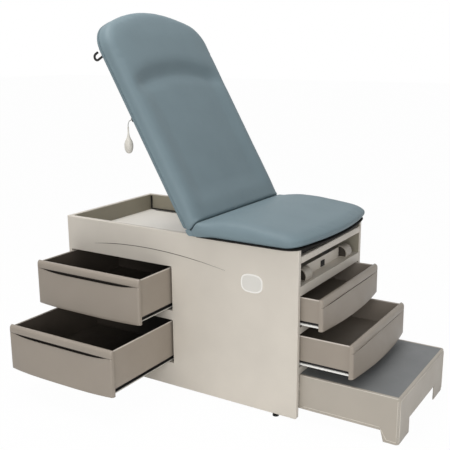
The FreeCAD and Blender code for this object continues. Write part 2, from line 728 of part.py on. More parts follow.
def cup_block(radius, foot, y0, y1):
    """A block about the pin with an upright back, a flat foot and a round front and top."""
    limits = box(STIRRUP_PIN_X - CUP_BACK, STIRRUP_PIN_X + radius + 1, y0, y1,
                 stirrup_z - foot, stirrup_z + radius + 1)
    return on_pin(radius, y0, y1).common(limits)


def cup_inside(y0, y1):
    return cup_block(CUP_RADIUS - CUP_WALL, CUP_FOOT - CUP_WALL, y0, y1)


def stirrup_cup():
    """A bent shell, open towards the head end."""
    y0 = -stirrup_y - CUP_WIDTH / 2
    y1 = -stirrup_y + CUP_WIDTH / 2
    return cup_block(CUP_RADIUS, CUP_FOOT, y0, y1).cut(cup_inside(y0 - 1, y1 + 1))


def stirrup_cheeks():
    """End plates inside the cup that carry the pin."""
    cheeks = []
    reach = CUP_WIDTH / 2 - CHEEK_INSET
    for y0 in (-stirrup_y - reach, -stirrup_y + reach - CHEEK_THICKNESS):
        y1 = y0 + CHEEK_THICKNESS
        hub = on_pin(2 * STIRRUP_PIN_RADIUS, y0, y1)
        bore = on_pin(STIRRUP_PIN_RADIUS, y0 - 1, y1 + 1)
        cheeks.append(join(cup_inside(y0, y1), hub).cut(bore))
    return cheeks


def stirrup_pin():
    reach = CUP_WIDTH / 2 - CHEEK_INSET
    y0 = -stirrup_y - reach
    y1 = -stirrup_y + reach
    heads = [on_pin(PIN_HEAD_RADIUS, y, y + PIN_HEAD) for y in (y0 - PIN_HEAD, y1)]
    return join(on_pin(STIRRUP_PIN_RADIUS, y0, y1), *heads)


# Seat
def pad_solid(outline, bottom, top, domes):
    """An upright block on an outline, cut by its crown, with soft top edges and drawn-in feet."""
    block = Part.Face(outline).extrude(V(0, 0, top - bottom))
    for dome in domes:
        block = block.common(dome)
    rim = edges_where(block, lambda e: e.BoundBox.ZMin > bottom + PAD_EDGE_RADIUS)
    block = block.makeFillet(PAD_EDGE_RADIUS, rim)
    foot = edges_where(block, lambda e: e.BoundBox.ZMax < bottom + 0.01)
    return block.makeFillet(PAD_FOOT_RADIUS, foot)


def line(a, b):
    return Part.LineSegment(a, b).toShape()


def seat_outline():
    """Straight head end and sides, two round corners and a bowed foot edge."""
    z = seat_pad_bottom
    turn = SEAT_CORNER_RADIUS
    bow = (pad_half ** 2 + (SEAT_NOSE_X - SEAT_CORNER_X) ** 2) / (2 * (SEAT_NOSE_X - SEAT_CORNER_X))
    bow_x = SEAT_NOSE_X - bow
    corner_y = pad_half - turn
    corner_x = bow_x + math.sqrt((bow - turn) ** 2 - corner_y ** 2)
    lean = math.atan2(corner_y, corner_x - bow_x)
    touch = V(corner_x + turn * math.cos(lean), corner_y + turn * math.sin(lean), z)
    middle_angle = (lean + math.pi / 2) / 2
    middle = V(corner_x + turn * math.cos(middle_angle), corner_y + turn * math.sin(middle_angle), z)
    side = V(corner_x, pad_half, z)
    head = V(seat_head_x, pad_half, z)

    def far(p):
        return V(p.x, -p.y, p.z)

    edges = [line(far(head), far(side)), Part.Arc(far(side), far(middle), far(touch)).toShape(),
             Part.Arc(far(touch), V(SEAT_NOSE_X, 0, z), touch).toShape(),
             Part.Arc(touch, middle, side).toShape(), line(side, head), line(head, far(head))]
    return Part.Wire(edges)


def seat_pad():
    crown_radius = (pad_half ** 2 + SEAT_CROWN ** 2) / (2 * SEAT_CROWN)
    middle_x = (seat_head_x + SEAT_NOSE_X) / 2
    dome = Part.makeSphere(crown_radius, V(middle_x, 0, seat_pad_top - crown_radius))
    return pad_solid(seat_outline(), seat_pad_bottom, seat_pad_top + 1, [dome])


def seat_board():
    head = seat_head_x + PAD_EDGE_RADIUS
    side = clear_half - FIT
    return box(head, -SEAT_BOARD_FRONT, -side, side, seat_board_bottom, seat_pad_bottom)


# Backrest, built lying flat with the hinge at the origin and the head end at negative x, then raised
def raised(shape):
    turned = shape.copy()
    turned.rotate(V(0, 0, 0), V(0, 1, 0), BACK_ANGLE)
    return moved(turned, HINGE_X, 0, hinge_z)


def back_outline(inset, n):
    """Straight sides and foot, round shoulders and an arched head, all tangent."""
    rise = BACK_HEAD_RISE
    turn = BACK_CORNER_RADIUS
    centre_v = pad_half - turn
    arch_radius = (rise ** 2 + centre_v ** 2 - turn ** 2) / (2 * (rise - turn))
    arch_u = BACK_LENGTH - arch_radius
    lean = math.atan2(centre_v, back_shoulder - arch_u)

    def on_corner(angle):
        reach = turn - inset
        return V(-back_shoulder - reach * math.cos(angle), centre_v + reach * math.sin(angle), n)

    shoulder = on_corner(math.pi / 2)
    corner = on_corner((lean + math.pi / 2) / 2)
    arch = on_corner(lean)
    crown = V(-BACK_LENGTH + inset, 0, n)
    heel = V(-BACK_HINGE_GAP - inset / 2, pad_half - inset, n)

    def near(p):
        return V(p.x, -p.y, p.z)

    edges = [line(heel, shoulder), Part.Arc(shoulder, corner, arch).toShape(),
             Part.Arc(arch, crown, near(arch)).toShape(),
             Part.Arc(near(arch), near(corner), near(shoulder)).toShape(),
             line(near(shoulder), near(heel)), line(near(heel), heel)]
    return Part.Wire(edges)


def back_pad():
    """Rounded all round the top, with a shallow dish that ends below the head pillow."""
    pad = pad_solid(back_outline(0, back_pad_n), back_pad_n, BACK_FRONT_N, [])
    dish_radius = (BACK_DISH_HALF ** 2 + BACK_DISH_DEPTH ** 2) / (2 * BACK_DISH_DEPTH)
    length = back_dish_end - BACK_DISH_START
    centre = V(-back_dish_end, 0, BACK_FRONT_N - BACK_DISH_DEPTH + dish_radius)
    return pad.cut(Part.makeCylinder(dish_radius, length, centre, V(1, 0, 0)))


def back_board():
    return Part.Face(back_outline(BOARD_INSET, BACK_BOARD_N)).extrude(V(0, 0, BACK_BOARD))


def back_arm():
    y0 = back_arm_y - BACK_ARM_WIDTH / 2
    y1 = back_arm_y + BACK_ARM_WIDTH / 2
    low = BACK_BOARD_N - BACK_ARM_DEPTH
    ear = HINGE_EAR_RADIUS
    bar = box(-BACK_ARM_END, ear, y0, y1, low, BACK_BOARD_N)
    lug = box(-ear, ear, y0, y1, low, 0)
    eye = bar_y(0, 0, ear, y0, y1)
    bore = bar_y(0, 0, HINGE_PIN_RADIUS, y0 - 1, y1 + 1)
    return join(bar, lug, eye).cut(bore)


def hinge_pin():
    reach = BACK_ARM_WIDTH / 2 + HINGE_CHEEK + HINGE_PIN_PROUD
    return bar_y(0, 0, HINGE_PIN_RADIUS, back_arm_y - reach, back_arm_y + reach)


def hinge_bracket():
    """A fork on the hinge beam with a cheek on each side of the backrest arm."""
    inner = BACK_ARM_WIDTH / 2 + FIT
    outer = inner + HINGE_CHEEK
    ear = HINGE_EAR_RADIUS
    rim = outer + HINGE_PLATE_RIM
    base = box(HINGE_X - BEAM / 2, HINGE_X + BEAM / 2, back_arm_y - rim, back_arm_y + rim,
               hinge_beam_top, hinge_beam_top + HINGE_PLATE)
    cheeks = []
    for y0 in (back_arm_y - outer, back_arm_y + inner):
        y1 = y0 + HINGE_CHEEK
        cheeks.append(box(HINGE_X - ear, HINGE_X + ear, y0, y1, hinge_beam_top, hinge_z))
        cheeks.append(bar_y(HINGE_X, hinge_z, ear, y0, y1))
    bore = bar_y(HINGE_X, hinge_z, HINGE_PIN_RADIUS + RUNNING, back_arm_y - outer - 1, back_arm_y + outer + 1)
    return join(base, *cheeks).cut(bore)


def crossbar(u):
    reach = back_arm_y - BACK_ARM_WIDTH / 2
    return box(-u - CROSSBAR / 2, -u + CROSSBAR / 2, -reach, reach, BACK_BOARD_N - CROSSBAR, BACK_BOARD_N)


def spring_fork(x, z, foot_z):
    """A fork with its pin riveted in; the eye of the gas spring turns on the pin."""
    inner = SPRING_EYE_WIDTH / 2 + FIT
    outer = inner + SPRING_CHEEK
    ear = SPRING_EYE_RADIUS
    low = min(z, foot_z)
    high = max(z, foot_z)
    step = math.copysign(SPRING_FORK_PLATE, z - foot_z)
    parts = [bar_y(x, z, SPRING_PIN_RADIUS, -outer, outer),
             box(x - ear, x + ear, -outer, outer, min(foot_z, foot_z + step), max(foot_z, foot_z + step))]
    for y0 in (-outer, inner):
        parts.append(box(x - ear, x + ear, y0, y0 + SPRING_CHEEK, low, high))
        parts.append(bar_y(x, z, ear, y0, y0 + SPRING_CHEEK))
    return join(*parts)


def spring_eye():
    half = SPRING_EYE_WIDTH / 2
    return bar_y(0, 0, SPRING_EYE_RADIUS, -half, half)


def spring_bore():
    return bar_y(0, 0, SPRING_PIN_RADIUS + RUNNING, -SPRING_EYE_WIDTH, SPRING_EYE_WIDTH)


def spring_tube():
    """Stands on its eye along +z; open at the top for the rod."""
    floor = SPRING_EYE_RADIUS + SPRING_SLIDE_GAP
    neck = bar_z(0, 0, SPRING_NECK_RADIUS, SPRING_PIN_RADIUS, floor)
    tube = bar_z(0, 0, SPRING_TUBE_RADIUS, floor, spring_tube_end)
    bottom = floor + SPRING_END_CAP
    chamber = bar_z(0, 0, SPRING_BORE_RADIUS, bottom, spring_tube_end - SPRING_GUIDE)
    mouth = bar_z(0, 0, SPRING_ROD_RADIUS + SPRING_SLIDE_GAP, bottom, spring_tube_end + 1)
    return join(tube, neck, spring_eye()).cut([chamber, mouth, spring_bore()])


def spring_rod():
    """Hangs from its eye along -z, with the piston at its end."""
    rod = bar_z(0, 0, SPRING_ROD_RADIUS, -spring_rod_length, -SPRING_EYE_RADIUS + 1)
    end = -spring_rod_length
    piston = bar_z(0, 0, SPRING_BORE_RADIUS - SPRING_SLIDE_GAP, end, end + SPRING_GUIDE)
    return join(rod, piston, spring_eye()).cut(spring_bore())


def spring_top():
    """Upper pivot in the working frame at the rest angle."""
    a = math.radians(BACK_ANGLE)
    x = -spring_u * math.cos(a) - SPRING_DROP * math.sin(a)
    z = spring_u * math.sin(a) - SPRING_DROP * math.cos(a)
    return V(HINGE_X + x, 0, hinge_z + z)


def along_spring(shape, pivot):
    top = spring_top()
    lean = math.degrees(math.atan2(top.x - spring_base_x, top.z - spring_base_z))
    turned = shape.copy()
    turned.rotate(V(0, 0, 0), V(0, 1, 0), lean)
    return moved(turned, pivot.x, 0, pivot.z)


def paper_hook():
    n = BACK_BOARD_N
    tip_x = -hook_u - HOOK_WIDTH
    points = [V(-hook_u, hook_y, n), V(-hook_u, hook_y, n - HOOK_DROP),
              V(tip_x, hook_y, n - HOOK_DROP), V(tip_x, hook_y, n - HOOK_TIP_DROP)]
    bend = HOOK_WIDTH / 2 - 0.1
    rod = rounded_tube(points, [bend, bend], HOOK_ROD_RADIUS)
    half_length = HOOK_PLATE_LENGTH / 2
    half_width_of_plate = HOOK_PLATE_WIDTH / 2
    plate = box(-hook_u - half_length, -hook_u + half_length,
                hook_y - half_width_of_plate, hook_y + half_width_of_plate, n - HOOK_PLATE, n)
    return join(rod, plate)


# Release pull on the near edge of the backrest
def cable_gland():
    half = GLAND_WIDTH / 2
    return box(-PULL_U - half, -PULL_U + half, pull_exit_y, pull_exit_y + GLAND_LENGTH,
               BACK_BOARD_N - GLAND_DEPTH, BACK_BOARD_N)


def pull_exit():
    a = math.radians(BACK_ANGLE)
    x = -PULL_U * math.cos(a) + pull_n * math.sin(a)
    z = PULL_U * math.sin(a) + pull_n * math.cos(a)
    return V(HINGE_X + x, pull_exit_y, hinge_z + z)


def cable_route():
    start = pull_exit()
    second = start + V(0, -CABLE_RUN, 0)
    third = second + V(0, -CABLE_DIAGONAL, -CABLE_DIAGONAL)
    return [start, second, third, third + V(0, 0, -CABLE_TAIL)]


def release_cable():
    route = cable_route()
    shorter = min(CABLE_RUN, CABLE_DIAGONAL * math.sqrt(2), CABLE_TAIL)
    bend = 0.45 * shorter / math.tan(math.radians(22.5))
    print("cable bend radius", round(bend, 2), "diameter", 2 * CABLE_RADIUS)
    return rounded_tube(route, [bend, bend], CABLE_RADIUS)


def pull_handle():
    """A turned drop: thin neck, hollow flank, long bulb and a round foot."""
    top = cable_route()[-1]
    bulb_top = HANDLE_LENGTH - HANDLE_BULB
    foot_centre = HANDLE_LENGTH - HANDLE_FOOT_RADIUS

    def on_foot(degrees):
        angle = math.radians(degrees)
        return V(HANDLE_FOOT_RADIUS * math.cos(angle), 0, -foot_centre - HANDLE_FOOT_RADIUS * math.sin(angle))

    centre = V(0, 0, 0)
    shoulder = V(HANDLE_NECK_RADIUS, 0, 0)
    neck = V(HANDLE_NECK_RADIUS, 0, -HANDLE_NECK)
    waist = V(0.35 * HANDLE_RADIUS, 0, -0.44 * HANDLE_NECK - 0.56 * bulb_top)
    flank = V(0.76 * HANDLE_RADIUS, 0, -bulb_top)
    belly = V(HANDLE_RADIUS, 0, -bulb_top - 0.46 * HANDLE_BULB)
    turn = on_foot(18)
    foot = V(0, 0, -HANDLE_LENGTH)
    edges = [line(centre, shoulder), line(shoulder, neck), Part.Arc(neck, waist, flank).toShape(),
             Part.Arc(flank, belly, turn).toShape(), Part.Arc(turn, on_foot(54), foot).toShape(),
             line(foot, centre)]
    handle = Part.Face(Part.Wire(edges)).revolve(V(0, 0, 0), V(0, 0, 1), 360)
    return moved(handle, top.x, top.y, top.z)


# Writing the parts
def save_cabinet():
    openings = side_openings(0)
    save("near_side_panel", side_panel(openings, side_openings(PANEL_FLANGE)))
    save("far_side_panel", mirrored(side_panel([], [])))
    save("inner_liners", [side_liner(openings), mirrored(side_liner([])), head_liner()])
    save("head_panel", head_panel())
    save("base_pan", base_pan())
    save("centre_bulkhead", centre_bulkhead())
    save("well_tray", well_tray())
    save("cross_beams", [cross_beam(hinge_beam_top), cross_beam(spring_beam_top)])
    save("front_rails", [front_rail(lower_front_top, upper_front_bottom),
                         front_rail(STEP_TOP, lower_front_bottom)])
    save("bay_tray", bay_tray())
    save("bay_panel", bay_panel())
    save("switch_frame", switch_frame())
    save("switch_rocker", switch_rocker())
    save("foot_glides", foot_glides())
    save("blank_plaque", plaque())
    save("hinge_brackets", pair(hinge_bracket()))
    save("spring_base_fork", spring_fork(spring_base_x, spring_base_z, spring_beam_top))


def save_drawers():
    side = (on_near_side, side_front_width)
    foot = (on_foot_end, foot_front_width)
    side_rails = save_drawer("upper_side_drawer", *side, UPPER_SIDE_HEIGHT, SIDE_BOX_DEPTH, side_wall_half,
                             UPPER_SIDE_OUT, upper_side_bottom)
    side_rails += save_drawer("lower_side_drawer", *side, LOWER_SIDE_HEIGHT, SIDE_BOX_DEPTH, side_wall_half,
                              LOWER_SIDE_OUT, LOWER_SIDE_BOTTOM)
    foot_rails = save_drawer("upper_front_drawer", *foot, UPPER_FRONT_HEIGHT, FRONT_BOX_DEPTH, clear_half,
                             UPPER_FRONT_OUT, upper_front_bottom)
    foot_rails += save_drawer("lower_front_drawer", *foot, LOWER_FRONT_HEIGHT, FRONT_BOX_DEPTH, clear_half,
                              LOWER_FRONT_OUT, lower_front_bottom)
    save("side_drawer_rails", side_rails)
    save("front_drawer_rails", foot_rails)


def save_foot_end():
    save("step_shell", step_shell())
    save("step_tread", tread_block(FIT))
    save("step_shoes", step_shoes())
    save("step_rails", step_rails())
    save("leg_rest_pan", leg_pan())
    save("leg_rest_front", leg_front())
    save("leg_rest_channels", leg_channels())
    save("stirrup_sleeves", pair(stirrup_sleeve()))
    for side, place in (("near", lambda s: s), ("far", mirrored)):
        save(f"{side}_stirrup_arm", place(stirrup_arm()))
        save(f"{side}_stirrup_cup", place(stirrup_cup()))
        save(f"{side}_stirrup_cheeks", [place(c) for c in stirrup_cheeks()] + [place(stirrup_pin())])


def save_seat_and_back():
    save("seat_board", seat_board())
    save("seat_pad", seat_pad())
    save("back_pad", raised(back_pad()))
    save("back_board", raised(back_board()))
    save("back_arms", [raised(a) for a in pair(back_arm())])
    save("hinge_pins", [raised(p) for p in pair(hinge_pin())])
    save("back_crossbars", [raised(crossbar(u)) for u in (spring_u, TOP_CROSSBAR_U)])
    save("spring_top_fork", raised(spring_fork(-spring_u, -SPRING_DROP, BACK_BOARD_N - CROSSBAR)))
    save("spring_tube", along_spring(spring_tube(), V(spring_base_x, 0, spring_base_z)))
    save("spring_rod", along_spring(spring_rod(), spring_top()))
    save("paper_hooks", [raised(h) for h in pair(paper_hook())])
    save("cable_gland", raised(cable_gland()))
    save("release_cable", release_cable())
    save("pull_handle", pull_handle())


os.makedirs("parts", exist_ok=True)
save_cabinet()
save_drawers()
save_foot_end()
save_seat_and_back()
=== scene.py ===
"""The examination table with storage, dressed for the photograph. Metres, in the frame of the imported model."""

import math

import bmesh
import bpy
from mathutils import Matrix, Vector


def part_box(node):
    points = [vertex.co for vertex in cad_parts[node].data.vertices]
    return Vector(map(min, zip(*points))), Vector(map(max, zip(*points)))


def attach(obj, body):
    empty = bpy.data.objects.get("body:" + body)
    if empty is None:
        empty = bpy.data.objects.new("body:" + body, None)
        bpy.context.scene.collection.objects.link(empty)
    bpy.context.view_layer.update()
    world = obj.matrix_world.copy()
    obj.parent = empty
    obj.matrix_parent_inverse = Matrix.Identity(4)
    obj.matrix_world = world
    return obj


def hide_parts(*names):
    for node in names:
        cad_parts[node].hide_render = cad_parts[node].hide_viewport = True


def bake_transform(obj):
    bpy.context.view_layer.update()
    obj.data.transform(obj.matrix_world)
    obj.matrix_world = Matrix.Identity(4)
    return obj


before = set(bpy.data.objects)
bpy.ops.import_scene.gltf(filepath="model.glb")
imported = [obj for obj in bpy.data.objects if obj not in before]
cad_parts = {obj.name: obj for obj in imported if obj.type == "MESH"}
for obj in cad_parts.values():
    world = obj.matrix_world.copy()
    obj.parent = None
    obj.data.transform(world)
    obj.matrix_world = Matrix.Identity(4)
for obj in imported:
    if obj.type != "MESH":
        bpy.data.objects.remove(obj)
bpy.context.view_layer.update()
scene = bpy.context.scene

# Camera, from the fit of the photograph
CAMERA_PLACE = (1.67208, -2.65582, 1.53135)
CAMERA_YAW = 31.13
CAMERA_DOWN = 13.95
CAMERA_ROLL = -0.1
CAMERA_LENS = 58.98
CAMERA_SENSOR = 36.0
CAMERA_SHIFT_X = -0.0392
CAMERA_SHIFT_Y = 0.0123

# Light and setting: each light is its name, place, target, size and watts
LIGHTS = [
    ("overhead", (-0.8, -0.6, 4.2), (-0.1, 0.1, 0.6), 2.4, 92.0),
    ("front", (1.5, -3.6, 1.6), (0.2, 0.0, 0.45), 2.0, 63.0),
    ("foot", (2.8, -0.6, 0.5), (0.8, 0.2, 0.1), 1.0, 6.0),
]
WHITE = (1.0, 1.0, 1.0)
WORLD_STRENGTH = 0.32
FLOOR_GREY = (0.86, 0.86, 0.86)
FLOOR_ROUGHNESS = 0.9
FLOOR_HALF = 30.0
FLOOR_WHITE_SHARE = 0.98

# Surface grain: the band that holds nearly all of a noise, and the paint's orange peel
NOISE_BAND = (0.3, 0.7)
PEEL_SCALE = 900.0

# Colours, linear
PANEL = (0.625, 0.578, 0.508)
PANEL_INNER = (0.30, 0.275, 0.215)
# Storage well: the floor colour is partly painted light, the wall colour partly painted shade
WELL_FLOOR_TONE_AND_LIGHT = (0.90, 0.865, 0.80)
WELL_WALL_TONE_AND_SHADE = (0.285, 0.26, 0.20)
DRAWER = (0.300, 0.258, 0.213)
# A lighter band along the top edges of the drawer boxes, a painted highlight
DRAWER_RIM_HIGHLIGHT = (0.56, 0.51, 0.45)
# Near-black painted shade for the strips inside the drawers' finger grooves
GROOVE_SHADE = (0.020, 0.017, 0.014)
# Drawer insides painted darker as painted shade; in the side drawers it deepens towards the foot end
SIDE_INSIDE_HEAD_SHADE = (0.085, 0.070, 0.056)
SIDE_INSIDE_FOOT_SHADE = (0.006, 0.005, 0.004)
FOOT_INSIDE_SHADE = (0.255, 0.219, 0.183)
STEP = (0.41, 0.37, 0.315)
# The step's embossed line, painted lighter than the step as a painted highlight
STEP_BEAD_HIGHLIGHT = (0.66, 0.62, 0.55)
TREAD = (0.160, 0.167, 0.170)
VINYL = (0.170, 0.228, 0.253)
CUP = (0.37, 0.335, 0.285)
# Stirrup cheeks: dark plastic, made near-black partly as painted shade on the cups' flat ends
CHEEK_PLASTIC_AND_SHADE = (0.045, 0.038, 0.031)
PLAQUE = (0.68, 0.66, 0.615)
PLAQUE_RIM = (0.86, 0.84, 0.80)
HANDLE = (0.60, 0.575, 0.52)
CABLE = (0.42, 0.42, 0.40)
BLACK = (0.014, 0.0135, 0.013)
BOARD = (0.012, 0.011, 0.010)
NYLON = (0.80, 0.79, 0.76)
NYLON_DULL = (0.46, 0.44, 0.40)
STRIPE = (0.11, 0.095, 0.08)
STEEL = (0.40, 0.40, 0.41)
ZINC = (0.52, 0.53, 0.54)
CHROME = (0.78, 0.79, 0.80)

# Backrest frame: the table's middle plane, the hinge line, and how far the back leans from lying flat
MIDDLE_Y = 0.1965
HINGE = Vector((-0.0855, MIDDLE_Y, 0.778))
BACK_ANGLE = 60.0

# Pads: a pair is where a smooth step starts and where it is full
PAD_HALF = 0.376
PAD_SPACING = 0.008
SEAT_HEAD_X = -0.0725
SEAT_CORNER_X = 0.4145
SEAT_NOSE_X = 0.4645
SEAT_CORNER_RADIUS = 0.085
SEAT_HEAD_RADIUS = 0.012
SEAT_BOTTOM = 0.752
SEAT_RISE = 0.018
SEAT_FALL = 0.026
SEAT_CROSS_CROWN = 0.004
SEAT_RISE_SPAN = (0.0, 0.32)
SEAT_FALL_SPAN = (0.38, 1.0)
SEAT_CROWN_SPAN = (0.0, 0.2)
SEAT_TOP_BAND = (0.030, 0.055)
SEAT_HOLD_UP = (0.012, 0.030)
SEAT_HOLD_SEAM = (0.030, 0.100)
NOSE_UNDER = 0.020
NOSE_UNDER_HEIGHT = 0.032
NOSE_UNDER_SPAN = (SEAT_CORNER_X - 0.06, SEAT_CORNER_X + 0.02)
UNDERLAY_DROP = 0.0028
BACK_HEEL = 0.017
BACK_LENGTH = 1.045
BACK_SHOULDER = 0.860
BACK_CORNER_RADIUS = 0.135
BACK_HEEL_RADIUS = 0.012
BACK_REAR = -0.019
BACK_WELT = -0.0268
BACK_FRONT_BAND = (0.018, 0.040)
BACK_HOLD_UP = (BACK_REAR + 0.003, BACK_REAR + 0.022)
BACK_HOLD_SEAM = (0.020, 0.090)
DISH_DEPTH = 0.012
DISH_SIDE = (0.224, 0.328)
DISH_FOOT = (0.035, 0.175)
PILLOW_MIDDLE = 0.765
PILLOW_DROP = 0.080
PILLOW_SLOPE = 0.060
PILLOW_RISE = 0.006
PILLOW_DISH_EDGE = 0.012
PILLOW_TOP_EDGE = 0.050
PILLOW_HEAD = (0.885, 1.02)
PILLOW_SIDE = (0.21, 0.36)
CREASE_BELOW = PILLOW_SLOPE * 0.7
CREASE_DEPTH = 0.014
CREASE_WIDTH = 0.042
CREASE_FADE = (0.265, 0.372)
HINGE_TAPER = 0.12
HINGE_TAPER_LENGTH = 0.11
SEAT_SIDE_ROLL = 0.0
BACK_SIDE_ROLL = 1.35
SEAM_GAP = 0.0021
SEAM_LEAN_SEAT = 55.5
SEAM_LEAN_BACK = 64.5
CORNER_CLEAR = 0.0025
CORNER_SIDE = (0.271, 0.298)
CORNER_END = (0.004, 0.022)
FOLD_REACH = 0.0240
FOLD_SLIMMER = 0.0010
FOLD_BULGE = 0.0012
FOLD_STEPS = 10
VOXEL = 0.006
SWELL_PRESSURE = 4.0
SWELL_FRAMES = 20
SWELL_LIMIT = 0.004

# Drawer faces
FACE_THICKNESS = 0.018
FACE_LIP = 0.033
FACE_SCOOP = 0.008
FACE_BOW = 0.023
FACE_END_RADIUS = 0.008
FACE_END_STEPS = (0.0, 0.0006, 0.002, 0.0045, 0.008, 0.016)
FACE_COLUMNS = 36
FACE_ROWS = 14
FACE_FOOT_SHARE = 0.018
FACE_TOP_SHARE = 0.990
FACE_LEAST = 0.001
FACE_TINY = 0.000001
SIDE_BOW = 0.016
SIDE_BOW_POWER = 3.2
FOOT_BOW_POWER = 2.0
GROOVE_DEPTH = 0.011
GROOVE_LEAST = 0.03
GROOVE_CLOSING = 2.16
GROOVE_POWER = 5
SIDE_GROOVE = 0.0150
FOOT_GROOVE = 0.0065

# Drawer boxes with their painted highlight and painted shade, runners and the well's floor
BOX_SKIN = 0.0007
BOX_RIM_HIGHLIGHT = (0.0052, 0.0042)
INSIDE_SHADE_START = 0.04
INSIDE_SHADE_SHARE = 0.6
WELL_FLOOR_TOP = (0.0028, 0.0034)
SIDE_BAR_HEIGHT = 0.0042
FOOT_BAR_HEIGHT = 0.0078
BAR_FADE = 0.0008
STOP_RADIUS = 0.0026
STOP_HALF = 0.0034
STOP_BACK = 0.0030
STOP_SIDE = 0.0036
STOP_RISE = 0.008

# Paper hooks and board screws, in the backrest frame
BOARD_REAR = -0.027
HOOK_U = 0.853
HOOK_Y = 0.347
HOOK_DROP = 0.061
HOOK_WIDTH = 0.028
HOOK_TIP = 0.033
HOOK_SLEEVE = 0.0052
HOOK_SLEEVE_START = 0.004
HOOK_SLEEVE_NECK = 0.020
SCREW_RADIUS = 0.006
SIDE_SCREWS_U = (0.09, 0.34, 0.72, 0.92)
SIDE_SCREWS_V = 0.275
HEAD_SCREWS_U = 0.99
HEAD_SCREWS_V = (-0.14, 0.0, 0.14)

# Release cable, control points of its route
CABLE_X = -0.384579
CABLE_ROUTE = [
    (CABLE_X, -0.1655, 1.230019),
    (CABLE_X, -0.1835, 1.230019),
    (CABLE_X, -0.1965, 1.217019),
    (CABLE_X, -0.1965, 1.202019),
]
CABLE_DIAMETER = 0.004

# Stripe on the near panel
STRIPE_START = -0.6735
STRIPE_PEAK_X = -0.3935
STRIPE_END = 0.0565
STRIPE_PEAK_Z = 0.6535
STRIPE_FALL_HEAD = 0.261
STRIPE_FALL_FOOT = 0.210
STRIPE_WIDTH = 0.0034
STRIPE_PROUD = 0.0004
STRIPE_FADES = (6.0, 3.0)
STRIPE_STEPS = 72

# Blank plaque
PLAQUE_POINTS = 96
PLAQUE_SQUARENESS = 0.72
PLAQUE_SPACING = 0.003

# Embossed line on the step, set in from its edges
STEP_FRONT_X = 0.8415
STEP_SIDE = 0.294
STEP_BEAD_RADIUS = 0.0013
STEP_BEAD_INSET = 0.009
STEP_SKIRT_Z = 0.0625
STEP_LEG_X = 0.762
STEP_LEG_FOOT_X = 0.792
STEP_TOP_Z = 0.190
STEP_EDGE_Z = 0.2010
STEP_FOOT_Z = 0.014
STEP_BEAD_LENGTH = 0.42

# Black cord in the storage well, painted shade in its gaps
SHADE_CORD_RADIUS = 0.0042
SHADE_CORD_WALL_GAP = 0.0065
SHADE_CORD_FOOT_RISE = 0.0068
SHADE_CORD_HEAD_GAP = 0.0075
SHADE_CORD_TOP_GAP = 0.004
SHADE_CORD_END_GAP = 0.012


# Material helpers
def start_material(name, shine=0.5):
    material = bpy.data.materials.new(name)
    material.use_nodes = True
    tree = material.node_tree
    shader = tree.nodes["Principled BSDF"]
    shader.inputs["Specular IOR Level"].default_value = shine
    place = tree.nodes.new("ShaderNodeTexCoord")
    return material, tree, shader, place.outputs["Object"]


def plug(tree, value, socket):
    if isinstance(value, bpy.types.NodeSocket):
        tree.links.new(value, socket)
    elif socket.type == "RGBA":
        socket.default_value = value + (1.0,)
    else:
        socket.default_value = value


def add_node(tree, kind, inputs):
    """A new shader node with each input linked to a socket or set to a value."""
    node = tree.nodes.new("ShaderNode" + kind)
    for name, value in inputs.items():
        plug(tree, value, node.inputs[name])
    return node


def noise(tree, vector, scale, detail=3.0):
    return add_node(tree, "TexNoise", {"Vector": vector, "Scale": scale, "Detail": detail}).outputs["Fac"]


def cells(tree, vector, scale):
    return add_node(tree, "TexVoronoi", {"Vector": vector, "Scale": scale}).outputs["Distance"]


def stretched(tree, vector, scale):
    return add_node(tree, "Mapping", {"Vector": vector, "Scale": scale}).outputs["Vector"]


def ranged(tree, value, low, high, to_low=0.0, to_high=1.0):
    limits = {"From Min": low, "From Max": high, "To Min": to_low, "To Max": to_high}
    return add_node(tree, "MapRange", {"Value": value, **limits}).outputs["Result"]


def mixed(tree, factor, first, second):
    node = tree.nodes.new("ShaderNodeMix")
    node.data_type = "RGBA"
    plug(tree, factor, node.inputs["Factor"])
    plug(tree, first, node.inputs[6])
    plug(tree, second, node.inputs[7])
    return node.outputs[2]


def sums(tree, operation, first, second):
    node = add_node(tree, "Math", {0: first, 1: second})
    node.operation = operation
    return node.outputs[0]


def axis_of(tree, vector, axis):
    return add_node(tree, "SeparateXYZ", {0: vector}).outputs[axis]


def soft_edges(tree, radius):
    node = add_node(tree, "Bevel", {"Radius": radius})
    node.samples = 4
    return node.outputs["Normal"]


def bumped(tree, height, distance, normal=None):
    inputs = {"Strength": 1.0, "Distance": distance, "Height": height}
    if normal is not None:
        inputs["Normal"] = normal
    return add_node(tree, "Bump", inputs).outputs["Normal"]


def orange_peel(tree, place, distance, normal=None):
    return bumped(tree, noise(tree, place, PEEL_SCALE, detail=1.0), distance, normal)


def wire_up(tree, shader, colour, pattern, rough_range, relief):
    """Links the colour, a roughness that follows the middle band of a pattern, and the relief."""
    tree.links.new(colour, shader.inputs["Base Color"])
    tree.links.new(ranged(tree, pattern, *NOISE_BAND, *rough_range), shader.inputs["Roughness"])
    tree.links.new(relief, shader.inputs["Normal"])


def lighter(colour, share):
    return tuple(min(1.0, channel * (1.0 + share)) for channel in colour)


def drifting(tree, place, colour, share, scale):
    """A colour that wanders a little over the surface, as real paint and hide do."""
    wander = ranged(tree, noise(tree, place, scale), *NOISE_BAND)
    return mixed(tree, wander, lighter(colour, -share), lighter(colour, share))


def painted(name, colour, roughness=0.45):
    """Powder coat: faint drift in tone, fine orange peel, softened sheet edges."""
    material, tree, shader, place = start_material(name)
    base = drifting(tree, place, colour, share=0.035, scale=5.0)
    patch = noise(tree, place, scale=14.0)
    relief = orange_peel(tree, place, distance=0.00006, normal=soft_edges(tree, radius=0.0012))
    wire_up(tree, shader, base, patch, (roughness - 0.05, roughness + 0.05), relief)
    return material


